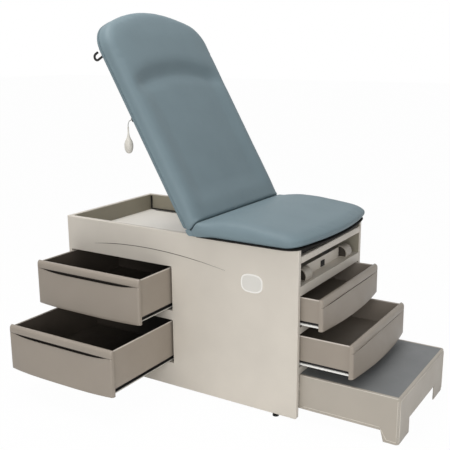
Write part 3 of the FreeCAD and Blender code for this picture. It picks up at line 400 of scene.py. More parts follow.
def moulded(name, colour, roughness=0.4, shine=0.5):
    """Moulded plastic with a fine etched grain."""
    material, tree, shader, place = start_material(name, shine)
    base = drifting(tree, place, colour, share=0.06, scale=25.0)
    patch = noise(tree, place, scale=60.0)
    etch = cells(tree, place, scale=1400.0)
    relief = bumped(tree, etch, distance=0.00004, normal=soft_edges(tree, radius=0.0008))
    wire_up(tree, shader, base, patch, (roughness - 0.06, roughness + 0.06), relief)
    return material


def metal(name, colour, roughness, streak, spangle):
    """Bare or plated metal: drawn streaks along its length and a faint spangle."""
    material, tree, shader, place = start_material(name)
    shader.inputs["Metallic"].default_value = 1.0
    flakes = ranged(tree, cells(tree, place, scale=160.0), 0.0, 0.6)
    base = mixed(tree, flakes, lighter(colour, -spangle), lighter(colour, spangle))
    lines = noise(tree, stretched(tree, place, (40.0, 900.0, 900.0)), scale=1.0, detail=2.0)
    relief = bumped(tree, lines, distance=0.00002, normal=soft_edges(tree, radius=0.0008))
    wire_up(tree, shader, base, lines, (roughness - streak, roughness + streak), relief)
    return material


def vinyl(name, colour):
    """Upholstery vinyl: pebbled hide grain, faint drift in tone, a soft satin sheen."""
    material, tree, shader, place = start_material(name, shine=0.25)
    base = drifting(tree, place, colour, share=0.03, scale=7.0)
    pebbles = cells(tree, place, scale=620.0)
    creases = noise(tree, place, scale=240.0, detail=4.0)
    grain = sums(tree, "ADD", pebbles, creases)
    wire_up(tree, shader, base, creases, (0.50, 0.60), bumped(tree, grain, distance=0.00012))
    return material


def rubber(name, colour):
    """Tread rubber: a coarse pebble under a fine dull skin, with duller and shinier patches."""
    material, tree, shader, place = start_material(name)
    base = drifting(tree, place, colour, share=0.07, scale=9.0)
    pebbles = cells(tree, place, scale=420.0)
    skin = noise(tree, place, scale=1100.0, detail=1.0)
    grain = sums(tree, "ADD", pebbles, skin)
    patch = noise(tree, place, scale=18.0)
    wire_up(tree, shader, base, patch, (0.42, 0.56), bumped(tree, grain, distance=0.00018))
    return material


def board(name, colour):
    """Black-sealed plywood: long faint fibres under the sealer."""
    material, tree, shader, place = start_material(name, shine=0.12)
    fibre = noise(tree, stretched(tree, place, (14.0, 320.0, 320.0)), scale=1.0, detail=5.0)
    strands = ranged(tree, fibre, 0.35, 0.65)
    base = mixed(tree, strands, lighter(colour, -0.35), lighter(colour, 0.6))
    relief = bumped(tree, fibre, distance=0.0001, normal=soft_edges(tree, radius=0.001))
    wire_up(tree, shader, base, fibre, (0.55, 0.75), relief)
    return material


def within(tree, value, low, high):
    """1 where a value lies between two limits, else 0."""
    above = sums(tree, "GREATER_THAN", value, low)
    below = sums(tree, "LESS_THAN", value, high)
    return sums(tree, "MULTIPLY", above, below)


def drawer_box_paint(name, node, head_inside_shade, foot_inside_shade):
    """Drawer box: taupe outside, a lighter band along the top edge that is a painted highlight, and insides
    painted darker as painted shade, which changes along x.
    """
    material, tree, shader, place = start_material(name)
    low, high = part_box(node)
    along = axis_of(tree, place, "X")
    across = axis_of(tree, place, "Y")
    height = axis_of(tree, place, "Z")
    inner = within(tree, along, low.x + BOX_SKIN, high.x - BOX_SKIN)
    inner = sums(tree, "MULTIPLY", inner, within(tree, across, low.y + BOX_SKIN, high.y - BOX_SKIN))
    inner = sums(tree, "MULTIPLY", inner, sums(tree, "GREATER_THAN", height, low.z + BOX_SKIN))
    # painted highlight: a lighter band along the top edge
    rim = ranged(tree, height, high.z - BOX_RIM_HIGHLIGHT[0], high.z - BOX_RIM_HIGHLIGHT[1])
    # painted shade inside the box, deepening along x towards the foot end
    shade_to_foot = ranged(tree, along, low.x + INSIDE_SHADE_START, low.x + INSIDE_SHADE_SHARE * (high.x - low.x))
    inside_shade = mixed(tree, shade_to_foot, drifting(tree, place, head_inside_shade, share=0.08, scale=6.0), foot_inside_shade)
    walls = mixed(tree, inner, drifting(tree, place, DRAWER, share=0.04, scale=6.0), inside_shade)
    base = mixed(tree, rim, walls, DRAWER_RIM_HIGHLIGHT)
    patch = noise(tree, place, scale=20.0)
    wire_up(tree, shader, base, patch, (0.42, 0.54), orange_peel(tree, place, distance=0.00005))
    return material


def well_paint(name):
    """Storage well: a pale floor, painted paler still as painted light, between walls painted darker as painted
    shade.
    """
    material, tree, shader, place = start_material(name)
    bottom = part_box("well_tray")[0].z
    height = axis_of(tree, place, "Z")
    wall = ranged(tree, height, bottom + WELL_FLOOR_TOP[0], bottom + WELL_FLOOR_TOP[1])
    # painted light on the floor and painted shade on the walls, split by height
    floor = drifting(tree, place, WELL_FLOOR_TONE_AND_LIGHT, share=0.03, scale=5.0)
    sides = drifting(tree, place, WELL_WALL_TONE_AND_SHADE, share=0.05, scale=5.0)
    patch = noise(tree, place, scale=14.0)
    relief = orange_peel(tree, place, distance=0.00005)
    wire_up(tree, shader, mixed(tree, wall, floor, sides), patch, (0.45, 0.55), relief)
    return material


def runner_paint(name, node, colour, bar_height):
    """Drawer runner: a pale nylon bar below, its web painted black above it as painted shade in the gap under
    the box.
    """
    material, tree, shader, place = start_material(name, shine=0.2)
    bar_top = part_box(node)[0].z + bar_height
    # painted shade: black on the web above the bar
    upper = ranged(tree, axis_of(tree, place, "Z"), bar_top, bar_top + BAR_FADE)
    bar = drifting(tree, place, colour, share=0.04, scale=30.0)
    lines = noise(tree, stretched(tree, place, (30.0, 30.0, 900.0)), scale=1.0, detail=2.0)
    relief = bumped(tree, lines, distance=0.00003)
    wire_up(tree, shader, mixed(tree, upper, bar, BLACK), lines, (0.30, 0.42), relief)
    return material


# Helpers for pieces
def linked(name, data):
    """A new object in the scene, around a mesh, curve, light or camera."""
    thing = bpy.data.objects.new(name, data)
    scene.collection.objects.link(thing)
    return thing


def new_piece(name, data, material, body):
    """A piece that rides on a body; body is None for a piece that rides on none, such as the fold between two.
    """
    piece = linked(name, data)
    data.materials.append(material)
    if body is not None:
        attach(piece, body)
    return piece


def finished_mesh(name, bm, smooth_angle):
    bmesh.ops.recalc_face_normals(bm, faces=bm.faces)
    mesh = bpy.data.meshes.new(name)
    bm.to_mesh(mesh)
    bm.free()
    mesh.shade_smooth()
    mesh.set_sharp_from_angle(angle=math.radians(smooth_angle))
    return mesh


def solid_piece(name, bm, material, body, smooth_angle, place=None):
    """A piece from a finished bmesh, moved to its place where one is given."""
    mesh = finished_mesh(name, bm, smooth_angle)
    if place is not None:
        mesh.transform(place)
    return new_piece(name, mesh, material, body)


def bridge(bm, first, second):
    count = len(first)
    for i in range(count):
        j = (i + 1) % count
        bm.faces.new((first[i], first[j], second[j], second[i]))


def skin_over(bm, loops):
    """Joins loops in their order and closes the first and the last."""
    for first, second in zip(loops, loops[1:]):
        bridge(bm, first, second)
    bm.faces.new(loops[0])
    bm.faces.new(loops[-1])


def arc(cx, cy, radius, start, end, count):
    points = []
    for i in range(count + 1):
        angle = start + (end - start) * i / count
        points.append((cx + radius * math.cos(angle), cy + radius * math.sin(angle)))
    return points


def evenly(points, spacing):
    """A closed line through the same places with even steps."""
    closed = points + points[:1]
    reach = [0.0]
    for a, b in zip(closed, closed[1:]):
        reach.append(reach[-1] + math.dist(a, b))
    count = max(8, round(reach[-1] / spacing))
    even = []
    leg = 0
    for i in range(count):
        target = reach[-1] * i / count
        while reach[leg + 1] < target:
            leg += 1
        share = (target - reach[leg]) / (reach[leg + 1] - reach[leg])
        a = closed[leg]
        b = closed[leg + 1]
        even.append((a[0] + (b[0] - a[0]) * share, a[1] + (b[1] - a[1]) * share))
    return even


def drawn_in(points, inset):
    """The same closed line moved inwards; it runs anticlockwise."""
    count = len(points)
    moved = []
    for i in range(count):
        before = points[i - 1]
        after = points[(i + 1) % count]
        along = Vector((after[0] - before[0], after[1] - before[1])).normalized()
        moved.append((points[i][0] - along.y * inset, points[i][1] + along.x * inset))
    return moved


def ring_solid(outline, rings, place=None):
    """A closed body over an outline: rings are (inset, height) from the underside to the top. place, where
    given, moves a ring's points: it takes the outline's point, the drawn-in one and the height."""
    bm = bmesh.new()
    loops = []
    for inset, height in rings:
        loop = []
        for point, inner in zip(outline, drawn_in(outline, inset)):
            x, y = inner if place is None else place(point, inner, height)
            loop.append(bm.verts.new((x, y, height)))
        loops.append(loop)
    skin_over(bm, loops)
    return bm


def lathe(bm, profile, matrix, segments=24):
    """A turned shape: profile is (radius, height) pairs from one end of the axis to the other."""
    loops = []
    for radius, height in profile:
        loop = []
        for i in range(segments):
            angle = 2 * math.pi * i / segments
            point = Vector((radius * math.cos(angle), radius * math.sin(angle), height))
            loop.append(bm.verts.new(matrix @ point))
        loops.append(loop)
    skin_over(bm, loops)


def rods(name, kind, lines, radius, smoothness):
    """The curve of a round rod along each line of points."""
    curve = bpy.data.curves.new(name, "CURVE")
    curve.dimensions = "3D"
    curve.bevel_depth = radius
    curve.bevel_resolution = smoothness
    for line in lines:
        spline = curve.splines.new(kind)
        spline.points.add(len(line) - 1)
        for point, place in zip(spline.points, line):
            point.co = tuple(place) + (1.0,)
    return curve


def line_curve(name, lines, radius, smoothness, material, body):
    """Rods with closed ends along lines of points, as one piece."""
    curve = rods(name, "POLY", lines, radius, smoothness)
    curve.use_fill_caps = True
    new_piece(name, curve, material, body)


def smooth_step(value, low, high):
    share = min(1.0, max(0.0, (value - low) / (high - low)))
    return share * share * (3.0 - 2.0 * share)


# Pads
def seat_outline():
    """Straight head end and sides, two round corners and a bowed foot edge, in x and y."""
    rise = SEAT_NOSE_X - SEAT_CORNER_X
    bow = (PAD_HALF ** 2 + rise ** 2) / (2 * rise)
    bow_x = SEAT_NOSE_X - bow
    turn = SEAT_CORNER_RADIUS
    corner_y = PAD_HALF - turn
    corner_x = bow_x + math.sqrt((bow - turn) ** 2 - corner_y ** 2)
    lean = math.atan2(corner_y, corner_x - bow_x)
    head = SEAT_HEAD_RADIUS
    points = arc(SEAT_HEAD_X + head, -PAD_HALF + head, head, math.pi, 1.5 * math.pi, 8)
    points += arc(corner_x, -corner_y, turn, -math.pi / 2, -lean, 12)
    points += arc(bow_x, 0.0, bow, -lean, lean, 40)[1:-1]
    points += arc(corner_x, corner_y, turn, lean, math.pi / 2, 12)
    points += arc(SEAT_HEAD_X + head, PAD_HALF - head, head, math.pi / 2, math.pi, 8)
    return evenly(points, PAD_SPACING)


def back_outline():
    """Straight sides, round shoulders and an arched head; the head end is at negative x."""
    rise = BACK_LENGTH - BACK_SHOULDER
    turn = BACK_CORNER_RADIUS
    centre_v = PAD_HALF - turn
    arch = (rise ** 2 + centre_v ** 2 - turn ** 2) / (2 * (rise - turn))
    arch_x = -BACK_LENGTH + arch
    lean = math.atan2(centre_v, BACK_SHOULDER + arch_x)
    heel = BACK_HEEL_RADIUS
    points = arc(-BACK_HEEL - heel, -PAD_HALF + heel, heel, -math.pi / 2, 0.0, 8)
    points += arc(-BACK_HEEL - heel, PAD_HALF - heel, heel, 0.0, math.pi / 2, 8)
    points += arc(-BACK_SHOULDER, centre_v, turn, math.pi / 2, math.pi - lean, 14)
    points += arc(arch_x, 0.0, arch, math.pi - lean, math.pi + lean, 40)[1:-1]
    points += arc(-BACK_SHOULDER, -centre_v, turn, math.pi + lean, 1.5 * math.pi, 14)
    return evenly(points, PAD_SPACING)


def remeshed(name, bm, voxel):
    """The body rebuilt from even small faces, then smoothed a little."""
    rough = finished_mesh(name + "_rough", bm, smooth_angle=180)
    holder = linked(name + "_rough", rough)
    even = holder.modifiers.new("even", "REMESH")
    even.mode = "VOXEL"
    even.voxel_size = voxel
    relax = holder.modifiers.new("relax", "SMOOTH")
    relax.factor = 0.5
    relax.iterations = 4
    graph = bpy.context.evaluated_depsgraph_get()
    mesh = bpy.data.meshes.new_from_object(holder.evaluated_get(graph))
    bpy.data.objects.remove(holder)
    mesh.name = name
    return mesh


def swell(mesh, hold):
    """Lets a pressure cloth run puff the body out, limited everywhere and held where hold is 0."""
    holder = linked("swelling", mesh)
    before = [vertex.co.copy() for vertex in mesh.vertices]
    cloth = holder.modifiers.new("swell", "CLOTH")
    cloth.settings.use_pressure = True
    cloth.settings.uniform_pressure_force = SWELL_PRESSURE
    cloth.settings.effector_weights.gravity = 0.0
    cloth.point_cache.frame_start = 1
    cloth.point_cache.frame_end = SWELL_FRAMES
    for step in range(1, SWELL_FRAMES + 1):
        scene.frame_set(step)
    graph = bpy.context.evaluated_depsgraph_get()
    after = [vertex.co.copy() for vertex in holder.evaluated_get(graph).data.vertices]
    holder.modifiers.remove(cloth)
    scene.frame_set(1)
    for vertex, old, new in zip(mesh.vertices, before, after):
        move = new - old
        if move.length > SWELL_LIMIT:
            move = move.normalized() * SWELL_LIMIT
        vertex.co = old + move * hold(old)
    bpy.data.objects.remove(holder)


def pad_mesh(name, outline, rings, place, hold, shape):
    mesh = remeshed(name, ring_solid(outline, rings, place), VOXEL)
    swell(mesh, hold)
    for vertex in mesh.vertices:
        vertex.co.z += shape(vertex.co)
    mesh.shade_smooth()
    return mesh


def tapered(point, inner, start, sign, side_roll):
    """Draws a ring in less towards the hinge end.

    side_roll is how much of the draw-in at the sides stays there."""
    from_end = sign * (point[0] - start)
    share = HINGE_TAPER + (1.0 - HINGE_TAPER) * smooth_step(from_end, 0.0, HINGE_TAPER_LENGTH)
    across = side_roll + (1.0 - side_roll) * share
    return (point[0] + (inner[0] - point[0]) * share, point[1] + (inner[1] - point[1]) * across)


def seam_reach(rise, lean):
    """How far from the hinge line a pad's end face lies at a height above that line."""
    angle = math.radians(lean)
    return (SEAM_GAP + math.cos(angle) * rise) / math.sin(angle)


def corner_share(point, from_end):
    """1 at a pad's two outer corners by the hinge, where the pads run on to the hinge line outside its arms."""
    outside = smooth_step(abs(point[1]), *CORNER_SIDE)
    return outside * (1.0 - smooth_step(from_end, *CORNER_END))


def seat_place(point, inner, height):
    """Leaves the seam free by the hinge, and draws the nose in below."""
    x, y = tapered(point, inner, SEAT_HEAD_X, 1.0, SEAT_SIDE_ROLL)
    seam = seam_reach(SEAT_BOTTOM + height - HINGE.z, SEAM_LEAN_SEAT)
    x = max(x, HINGE.x + seam)
    under = max(0.0, 1.0 - height / NOSE_UNDER_HEIGHT)
    x -= NOSE_UNDER * under ** 2 * smooth_step(point[0], *NOSE_UNDER_SPAN)
    corner = HINGE.x + max(CORNER_CLEAR, seam)
    return (x + (corner - x) * corner_share(point, point[0] - SEAT_HEAD_X), y)


def seat_hold(point):
    """0 on the underside and by the seam, where the pad may not swell."""
    from_seam = point.x - SEAT_HEAD_X
    return smooth_step(point.z, *SEAT_HOLD_UP) * smooth_step(from_seam, *SEAT_HOLD_SEAM)


def seat_shape(point):
    """The top rises from the seam to a third of the length, then falls away to the foot edge."""
    weight = smooth_step(point.z, *SEAT_TOP_BAND)
    share = (point.x - SEAT_HEAD_X) / (SEAT_NOSE_X - SEAT_HEAD_X)
    rise = SEAT_RISE * smooth_step(share, *SEAT_RISE_SPAN)
    fall = SEAT_FALL * smooth_step(share, *SEAT_FALL_SPAN)
    across = min(1.0, abs(point.y) / PAD_HALF)
    crown = SEAT_CROSS_CROWN * (1.0 - across ** 2) * smooth_step(share, *SEAT_CROWN_SPAN)
    return weight * (rise - fall + crown)


def back_place(point, inner, height):
    """Leaves the seam free by the hinge."""
    x, y = tapered(point, inner, -BACK_HEEL, -1.0, BACK_SIDE_ROLL)
    seam = seam_reach(height, SEAM_LEAN_BACK)
    x = min(x, -seam)
    corner = -max(CORNER_CLEAR, seam)
    return (x + (corner - x) * corner_share(point, -BACK_HEEL - point[0]), y)


def back_hold(point):
    """0 on the rear and by the seam, where the pad may not swell."""
    from_seam = -point.x - BACK_HEEL
    return smooth_step(point.z, *BACK_HOLD_UP) * smooth_step(from_seam, *BACK_HOLD_SEAM)


def back_shape(point):
    """A shallow dish inside a raised edge roll, ended above by an arched crease under the head pillow."""
    u = -point.x
    v = point.y
    weight = smooth_step(point.z, *BACK_FRONT_BAND)
    inside = 1.0 - smooth_step(abs(v), *DISH_SIDE)
    above_foot = smooth_step(u, *DISH_FOOT)
    crest = PILLOW_MIDDLE - PILLOW_DROP * (v / PAD_HALF) ** 2
    foot = crest - PILLOW_SLOPE
    below_pillow = 1.0 - smooth_step(u, foot, crest + PILLOW_DISH_EDGE)
    pillow = smooth_step(u, foot, crest + PILLOW_TOP_EDGE) * (1.0 - smooth_step(u, *PILLOW_HEAD))
    round_off = 1.0 - smooth_step(abs(v), *PILLOW_SIDE)
    dish = DISH_DEPTH * inside * above_foot * below_pillow
    from_crease = (u - crest + CREASE_BELOW) / CREASE_WIDTH
    crease = CREASE_DEPTH * math.exp(-from_crease ** 2) * (1.0 - smooth_step(abs(v), *CREASE_FADE))
    return weight * (PILLOW_RISE * pillow * round_off - dish - crease)


def soft_finish(piece):
    rounder = piece.modifiers.new("rounder", "SUBSURF")
    rounder.levels = 1
    rounder.render_levels = 1


def seat_cushion(material):
    rings = [(0.034, 0.0), (0.022, 0.0035), (0.012, 0.0095), (0.005, 0.0165), (0.001, 0.025), (0.0, 0.031),
             (0.0015, 0.038), (0.005, 0.0445), (0.011, 0.050), (0.020, 0.0545), (0.033, 0.058), (0.050, 0.0605),
             (0.072, 0.062)]
    mesh = pad_mesh("seat_cushion", seat_outline(), rings, seat_place, seat_hold, seat_shape)
    mesh.transform(Matrix.Translation((0.0, MIDDLE_Y, SEAT_BOTTOM)))
    piece = new_piece("seat_cushion", mesh, material, "cabinet")
    soft_finish(piece)
    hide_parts("seat_pad")


def back_matrix():
    return Matrix.Translation(HINGE) @ Matrix.Rotation(math.radians(BACK_ANGLE), 4, "Y")


def back_cushion(material):
    low = BACK_REAR
    rings = [(0.013, low), (0.004, low + 0.0002), (0.0005, low + 0.004), (0.0, low + 0.012), (0.0, low + 0.029),
             (0.0015, low + 0.039), (0.005, low + 0.047), (0.011, low + 0.0535), (0.020, low + 0.0585),
             (0.033, low + 0.0625), (0.050, low + 0.0645), (0.070, low + 0.0655)]
    mesh = pad_mesh("back_cushion", back_outline(), rings, back_place, back_hold, back_shape)
    mesh.transform(back_matrix())
    piece = new_piece("back_cushion", mesh, material, "backrest")
    soft_finish(piece)
    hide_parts("back_pad")


def fold_outline(scale):
    """Section of the hinge fold in x and z about the hinge line, with a lap into each pad."""
    points = [(0.014, -0.006), (0.016, -0.0225 * scale)]
    for i in range(FOLD_STEPS + 1):
        share = i / FOLD_STEPS
        angle = math.radians(270.0 - BACK_ANGLE * share)
        reach = scale * (FOLD_REACH - FOLD_SLIMMER * share + FOLD_BULGE * math.sin(math.pi * share))
        points.append((reach * math.cos(angle), reach * math.sin(angle)))
    lean = math.radians(BACK_ANGLE)
    for u, n in ((0.012, -0.0235 * scale), (0.010, -0.005)):
        points.append((-u * math.cos(lean) + n * math.sin(lean), u * math.sin(lean) + n * math.cos(lean)))
    return points


def hinge_fold(name, side, material):
    """A soft fold of the cover that fills the corner under the hinge line between seat and back."""
    outer = PAD_HALF - 0.0008
    # Sections from the arm outwards: distance from the middle plane, and size
    sections = [(0.275, 0.82), (0.277, 0.95), (0.282, 1.0), (outer - 0.0047, 1.0), (outer - 0.0017, 0.98),
                (outer, 0.93)]
    bm = bmesh.new()
    loops = []
    for out, scale in sections:
        loop = []
        for x, z in fold_outline(scale):
            loop.append(bm.verts.new((HINGE.x + x, MIDDLE_Y + side * out, HINGE.z + z)))
        loops.append(loop)
    skin_over(bm, loops)
    piece = solid_piece(name, bm, material, None, smooth_angle=50)
    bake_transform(piece)


def seat_underlay_and_shade(material):
    """The black cover under the seat pad, which shows as a line between pad and cabinet; that dark line also
    stands in for the shade under the pad's overhang.
    """
    rings = [(0.0140, 0.0), (0.0120, 0.0006), (0.0115, 0.0020), (0.0115, 0.0052), (0.0125, 0.0064),
             (0.0160, 0.0068)]
    bm = ring_solid(seat_outline(), rings)
    place = Matrix.Translation((0.0, MIDDLE_Y, SEAT_BOTTOM - UNDERLAY_DROP))
    solid_piece("seat_underlay_and_shade", bm, material, "cabinet", smooth_angle=40, place=place)


def back_welt(material):
    """The cover turned over the edge of the back board."""
    outline = back_outline()
    section = [(0.0135, BACK_REAR + 0.001), (0.0, BACK_REAR + 0.006), (0.0, BACK_REAR - 0.002),
               (0.0012, BACK_REAR - 0.0055), (0.004, BACK_WELT), (0.011, BACK_WELT),
               (0.0135, BACK_WELT + 0.002)]
    bm = bmesh.new()
    loops = []
    for inset, height in section:
        loops.append([bm.verts.new((x, y, height)) for x, y in drawn_in(outline, inset)])
    for first, second in zip(loops, loops[1:] + loops[:1]):
        bridge(bm, first, second)
    piece = solid_piece("back_welt", bm, material, "backrest", smooth_angle=60, place=back_matrix())


# Drawer faces, in their own frame: x outwards, y across, z up from the bottom edge
def face_columns(width):
    """Places across the face, closer together at its two ends."""
    half = width / 2
    inset = FACE_END_STEPS[-1]
    left = [-half + step for step in FACE_END_STEPS]
    inner = [-half + inset + (width - 2 * inset) * i / FACE_COLUMNS for i in range(1, FACE_COLUMNS)]
    return left + inner + [-y for y in reversed(left)]


def end_round(y, width):
    """How far the face falls back near its two upright ends."""
    from_end = width / 2 - abs(y)
    if from_end >= FACE_END_RADIUS:
        return 0.0
    return FACE_END_RADIUS - math.sqrt(FACE_END_RADIUS ** 2 - (FACE_END_RADIUS - from_end) ** 2)


def face_out(y, z, width, lip_bottom, bow, power):
    """The bowed face: scooped back under the lip, full at its foot."""
    across = 1.0 - abs(2 * y / width) ** power
    up = z / lip_bottom
    return across * (bow * (1.0 - up) - FACE_SCOOP * up)


def face_rows(width, height, bow, power, groove):
    """Each row is two functions of y, its height and how far out it lies, from the lower back edge over the
    front to the upper back edge. A finger groove runs back under the lip and closes towards both ends.
    The second result is the three rows from which the groove's strips start."""
    lip = height - FACE_LIP

    def fixed(value):
        return lambda y: value

    def closing(y):
        return max(GROOVE_LEAST, 1.0 - abs(GROOVE_CLOSING * y / width) ** GROOVE_POWER)

    def on_face(share, back):
        def up(y):
            return share * (lip - groove * closing(y))

        def out(y):
            return face_out(y, up(y), width, lip, bow, power) - back
        return up, out

    def in_groove(share):
        def up(y):
            return lip - groove * closing(y) * (1.0 - share)

        def out(y):
            depth = GROOVE_DEPTH * closing(y) * (0.75 + 0.25 * share)
            return face_out(y, lip, width, lip, bow, power) - depth
        return up, out

    def on_lip(above, back):
        return fixed(lip + above), fixed(-back)

    rows = [(fixed(0.0), fixed(-FACE_THICKNESS)), (fixed(0.0), on_face(0.0, 0.003)[1]), on_face(0.005, 0.0009),
            on_face(FACE_FOOT_SHARE, 0.0)]
    for i in range(1, FACE_ROWS):
        rows.append(on_face(FACE_FOOT_SHARE + (FACE_TOP_SHARE - FACE_FOOT_SHARE) * i / FACE_ROWS, 0.0))
    rows += [on_face(0.994, 0.0004), on_face(1.0, 0.0014)]
    groove_rows = range(len(rows) - 1, len(rows) + 2)
    rows += [in_groove(0.15), in_groove(0.9), on_lip(0.0, 0.0022),
             on_lip(0.0008, 0.0008), on_lip(0.0026, 0.0), on_lip(0.012, 0.0), on_lip(0.021, 0.0006),
             on_lip(FACE_LIP - 0.0075, 0.0020), on_lip(FACE_LIP - 0.0036, 0.0044),
             on_lip(FACE_LIP - 0.0012, 0.0076), on_lip(FACE_LIP, 0.0115), on_lip(FACE_LIP, FACE_THICKNESS)]
    return rows, groove_rows


def drawer_face(name, node, body, material, groove_shade_material, towards):
    """A drawer's bowed face with its lip and finger groove, whose strips are painted near-black as painted
    shade, in place of the plain front.
    """
    low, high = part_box(node)
    if towards == "near":
        width = high.x - low.x
        bow, power, groove = SIDE_BOW, SIDE_BOW_POWER, SIDE_GROOVE
        turn = Matrix.Rotation(math.radians(-90), 4, "Z")
        place = Vector(((low.x + high.x) / 2, low.y + FACE_BOW, low.z))
    else:
        width = high.y - low.y
        bow, power, groove = FACE_BOW, FOOT_BOW_POWER, FOOT_GROOVE
        turn = Matrix.Identity(4)
        place = Vector((high.x - FACE_BOW, (low.y + high.y) / 2, low.z))
    columns = face_columns(width)
    rows, groove_rows = face_rows(width, high.z - low.z, bow, power, groove)
    bm = bmesh.new()
    lines = []
    for up, out in rows:
        line = []
        for y in columns:
            x = out(y)
            if x > -FACE_THICKNESS + FACE_TINY:
                x = max(x - end_round(y, width), -FACE_THICKNESS + FACE_LEAST)
            line.append(bm.verts.new((x, y, up(y))))
        lines.append(line)
    for row, (first, second) in enumerate(zip(lines, lines[1:] + lines[:1])):
        for i in range(len(columns) - 1):
            face = bm.faces.new((first[i], first[i + 1], second[i + 1], second[i]))
            # the groove's strips take the painted shade
            face.material_index = 1 if row in groove_rows else 0
    bm.faces.new([line[0] for line in lines])
    bm.faces.new([line[-1] for line in lines])
    place = Matrix.Translation(place) @ turn
    piece = solid_piece(name, bm, material, body, smooth_angle=38, place=place)
    piece.data.materials.append(groove_shade_material)
    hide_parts(node)


# Release cable
def release_cord(material):
    curve = rods("release_cord", "NURBS", [CABLE_ROUTE], CABLE_DIAMETER / 2, smoothness=4)
    curve.resolution_u = 16
    curve.splines[0].order_u = 3
    curve.splines[0].use_endpoint_u = True
    curve.materials.append(material)
    cord = linked("release_cord", curve)
    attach(cord, "release_pull")
    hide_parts("release_cable")


# Trim
def panel_stripe(material):
    """A thin raised line that sweeps over the drawer opening and thins out at both ends."""
    face_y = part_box("near_side_panel")[0].y
    edge = STRIPE_PROUD * 0.3
    bm = bmesh.new()
    loops = []
    for i in range(STRIPE_STEPS + 1):
        x = STRIPE_START + (STRIPE_END - STRIPE_START) * i / STRIPE_STEPS
        fall = STRIPE_FALL_HEAD if x < STRIPE_PEAK_X else STRIPE_FALL_FOOT
        z = STRIPE_PEAK_Z - fall * (x - STRIPE_PEAK_X) ** 2
        to_end = STRIPE_STEPS - i
        fade = min(1.0, STRIPE_FADES[0] * i / STRIPE_STEPS, STRIPE_FADES[1] * to_end / STRIPE_STEPS)
        half = STRIPE_WIDTH / 2 * (0.25 + 0.75 * fade)
        section = [(0.0, -half), (edge, -half), (STRIPE_PROUD, -half * 0.6), (STRIPE_PROUD, half * 0.6),
                   (edge, half), (0.0, half)]
        loops.append([bm.verts.new((x, face_y - out, z + up)) for out, up in section])
    skin_over(bm, loops)
    solid_piece("panel_stripe", bm, material, "cabinet", smooth_angle=30)


def plaque_outline(low, high):
    """A wide oval with nearly straight sides, in x and z."""
    half_x = (high.x - low.x) / 2
    half_z = (high.z - low.z) / 2
    points = []
    for i in range(PLAQUE_POINTS):
        angle = 2 * math.pi * i / PLAQUE_POINTS
        cosine = math.cos(angle)
        sine = math.sin(angle)
        x = half_x * math.copysign(abs(cosine) ** PLAQUE_SQUARENESS, cosine)
        z = half_z * math.copysign(abs(sine) ** PLAQUE_SQUARENESS, sine)
        points.append((x, z))
    return evenly(points, PLAQUE_SPACING)


def blank_plate(rim_material, field_material):
    """The blank plaque: a raised light rim around a faintly domed field."""
    low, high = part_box("blank_plaque")
    outline = plaque_outline(low, high)
    place = Matrix.Translation(((low.x + high.x) / 2, high.y, (low.z + high.z) / 2))
    place = place @ Matrix.Rotation(math.radians(90), 4, "X")
    rim_rings = [(0.0, 0.0), (0.0, 0.0014), (0.0006, 0.0023), (0.0018, 0.0029), (0.0036, 0.0030),
                 (0.0050, 0.0026), (0.0060, 0.0019), (0.0072, 0.0017)]
    bm = ring_solid(outline, rim_rings)
    rim = solid_piece("plaque_rim", bm, rim_material, "cabinet", smooth_angle=50, place=place)
    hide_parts("blank_plaque")
    field_rings = [(0.0066, 0.0010), (0.0066, 0.0018), (0.0078, 0.0021), (0.0140, 0.0023), (0.0220, 0.0024)]
    bm = ring_solid(outline, field_rings)
    solid_piece("plaque_field", bm, field_material, "cabinet", smooth_angle=50, place=place)


def runner_rollers(name, node, body, material, towards):
    """A small flanged stop at the front end of each of a drawer's two runners, ahead of the rails."""
    low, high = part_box(node)
    hub = 0.0018
    shoulder = STOP_RADIUS * 0.62
    waist = STOP_RADIUS * 0.86
    profile = [(hub, -STOP_HALF), (shoulder, -STOP_HALF), (STOP_RADIUS, -0.0026), (STOP_RADIUS, -0.0012),
               (waist, -0.0006), (waist, 0.0006), (STOP_RADIUS, 0.0012), (STOP_RADIUS, 0.0026),
               (shoulder, STOP_HALF), (hub, STOP_HALF)]
    z = low.z + STOP_RISE + STOP_RADIUS
    if towards == "near":
        turn = Matrix.Rotation(math.radians(90), 4, "Y")
        places = [(x, low.y + STOP_BACK, z) for x in (low.x + STOP_SIDE, high.x - STOP_SIDE)]
    else:
        turn = Matrix.Rotation(math.radians(90), 4, "X")
        places = [(high.x - STOP_BACK, y, z) for y in (low.y + STOP_SIDE, high.y - STOP_SIDE)]
    bm = bmesh.new()
    for place in places:
        lathe(bm, profile, Matrix.Translation(place) @ turn)
    solid_piece(name, bm, material, body, smooth_angle=40)


def board_screws(material):
    """Domed socket screws through the back board, seen from behind."""
    places = [(-u, v, 0.0) for u in SIDE_SCREWS_U for v in (-SIDE_SCREWS_V, SIDE_SCREWS_V)]
    places += [(-HEAD_SCREWS_U, v, 0.0) for v in HEAD_SCREWS_V]
    behind = Matrix.Translation((0.0, 0.0, BOARD_REAR)) @ Matrix.Diagonal((1.0, 1.0, -1.0, 1.0))
    # Radius and height as shares of the screw's radius
    shares = [(1.0, 0.0), (1.0, 0.16), (0.86, 0.42), (0.55, 0.56), (0.42, 0.56), (0.40, 0.20), (0.05, 0.16)]
    profile = [(SCREW_RADIUS * out, SCREW_RADIUS * up) for out, up in shares]
    bm = bmesh.new()
    for place in places:
        lathe(bm, profile, back_matrix() @ behind @ Matrix.Translation(place), segments=18)
    solid_piece("board_screws", bm, material, "backrest", smooth_angle=35)


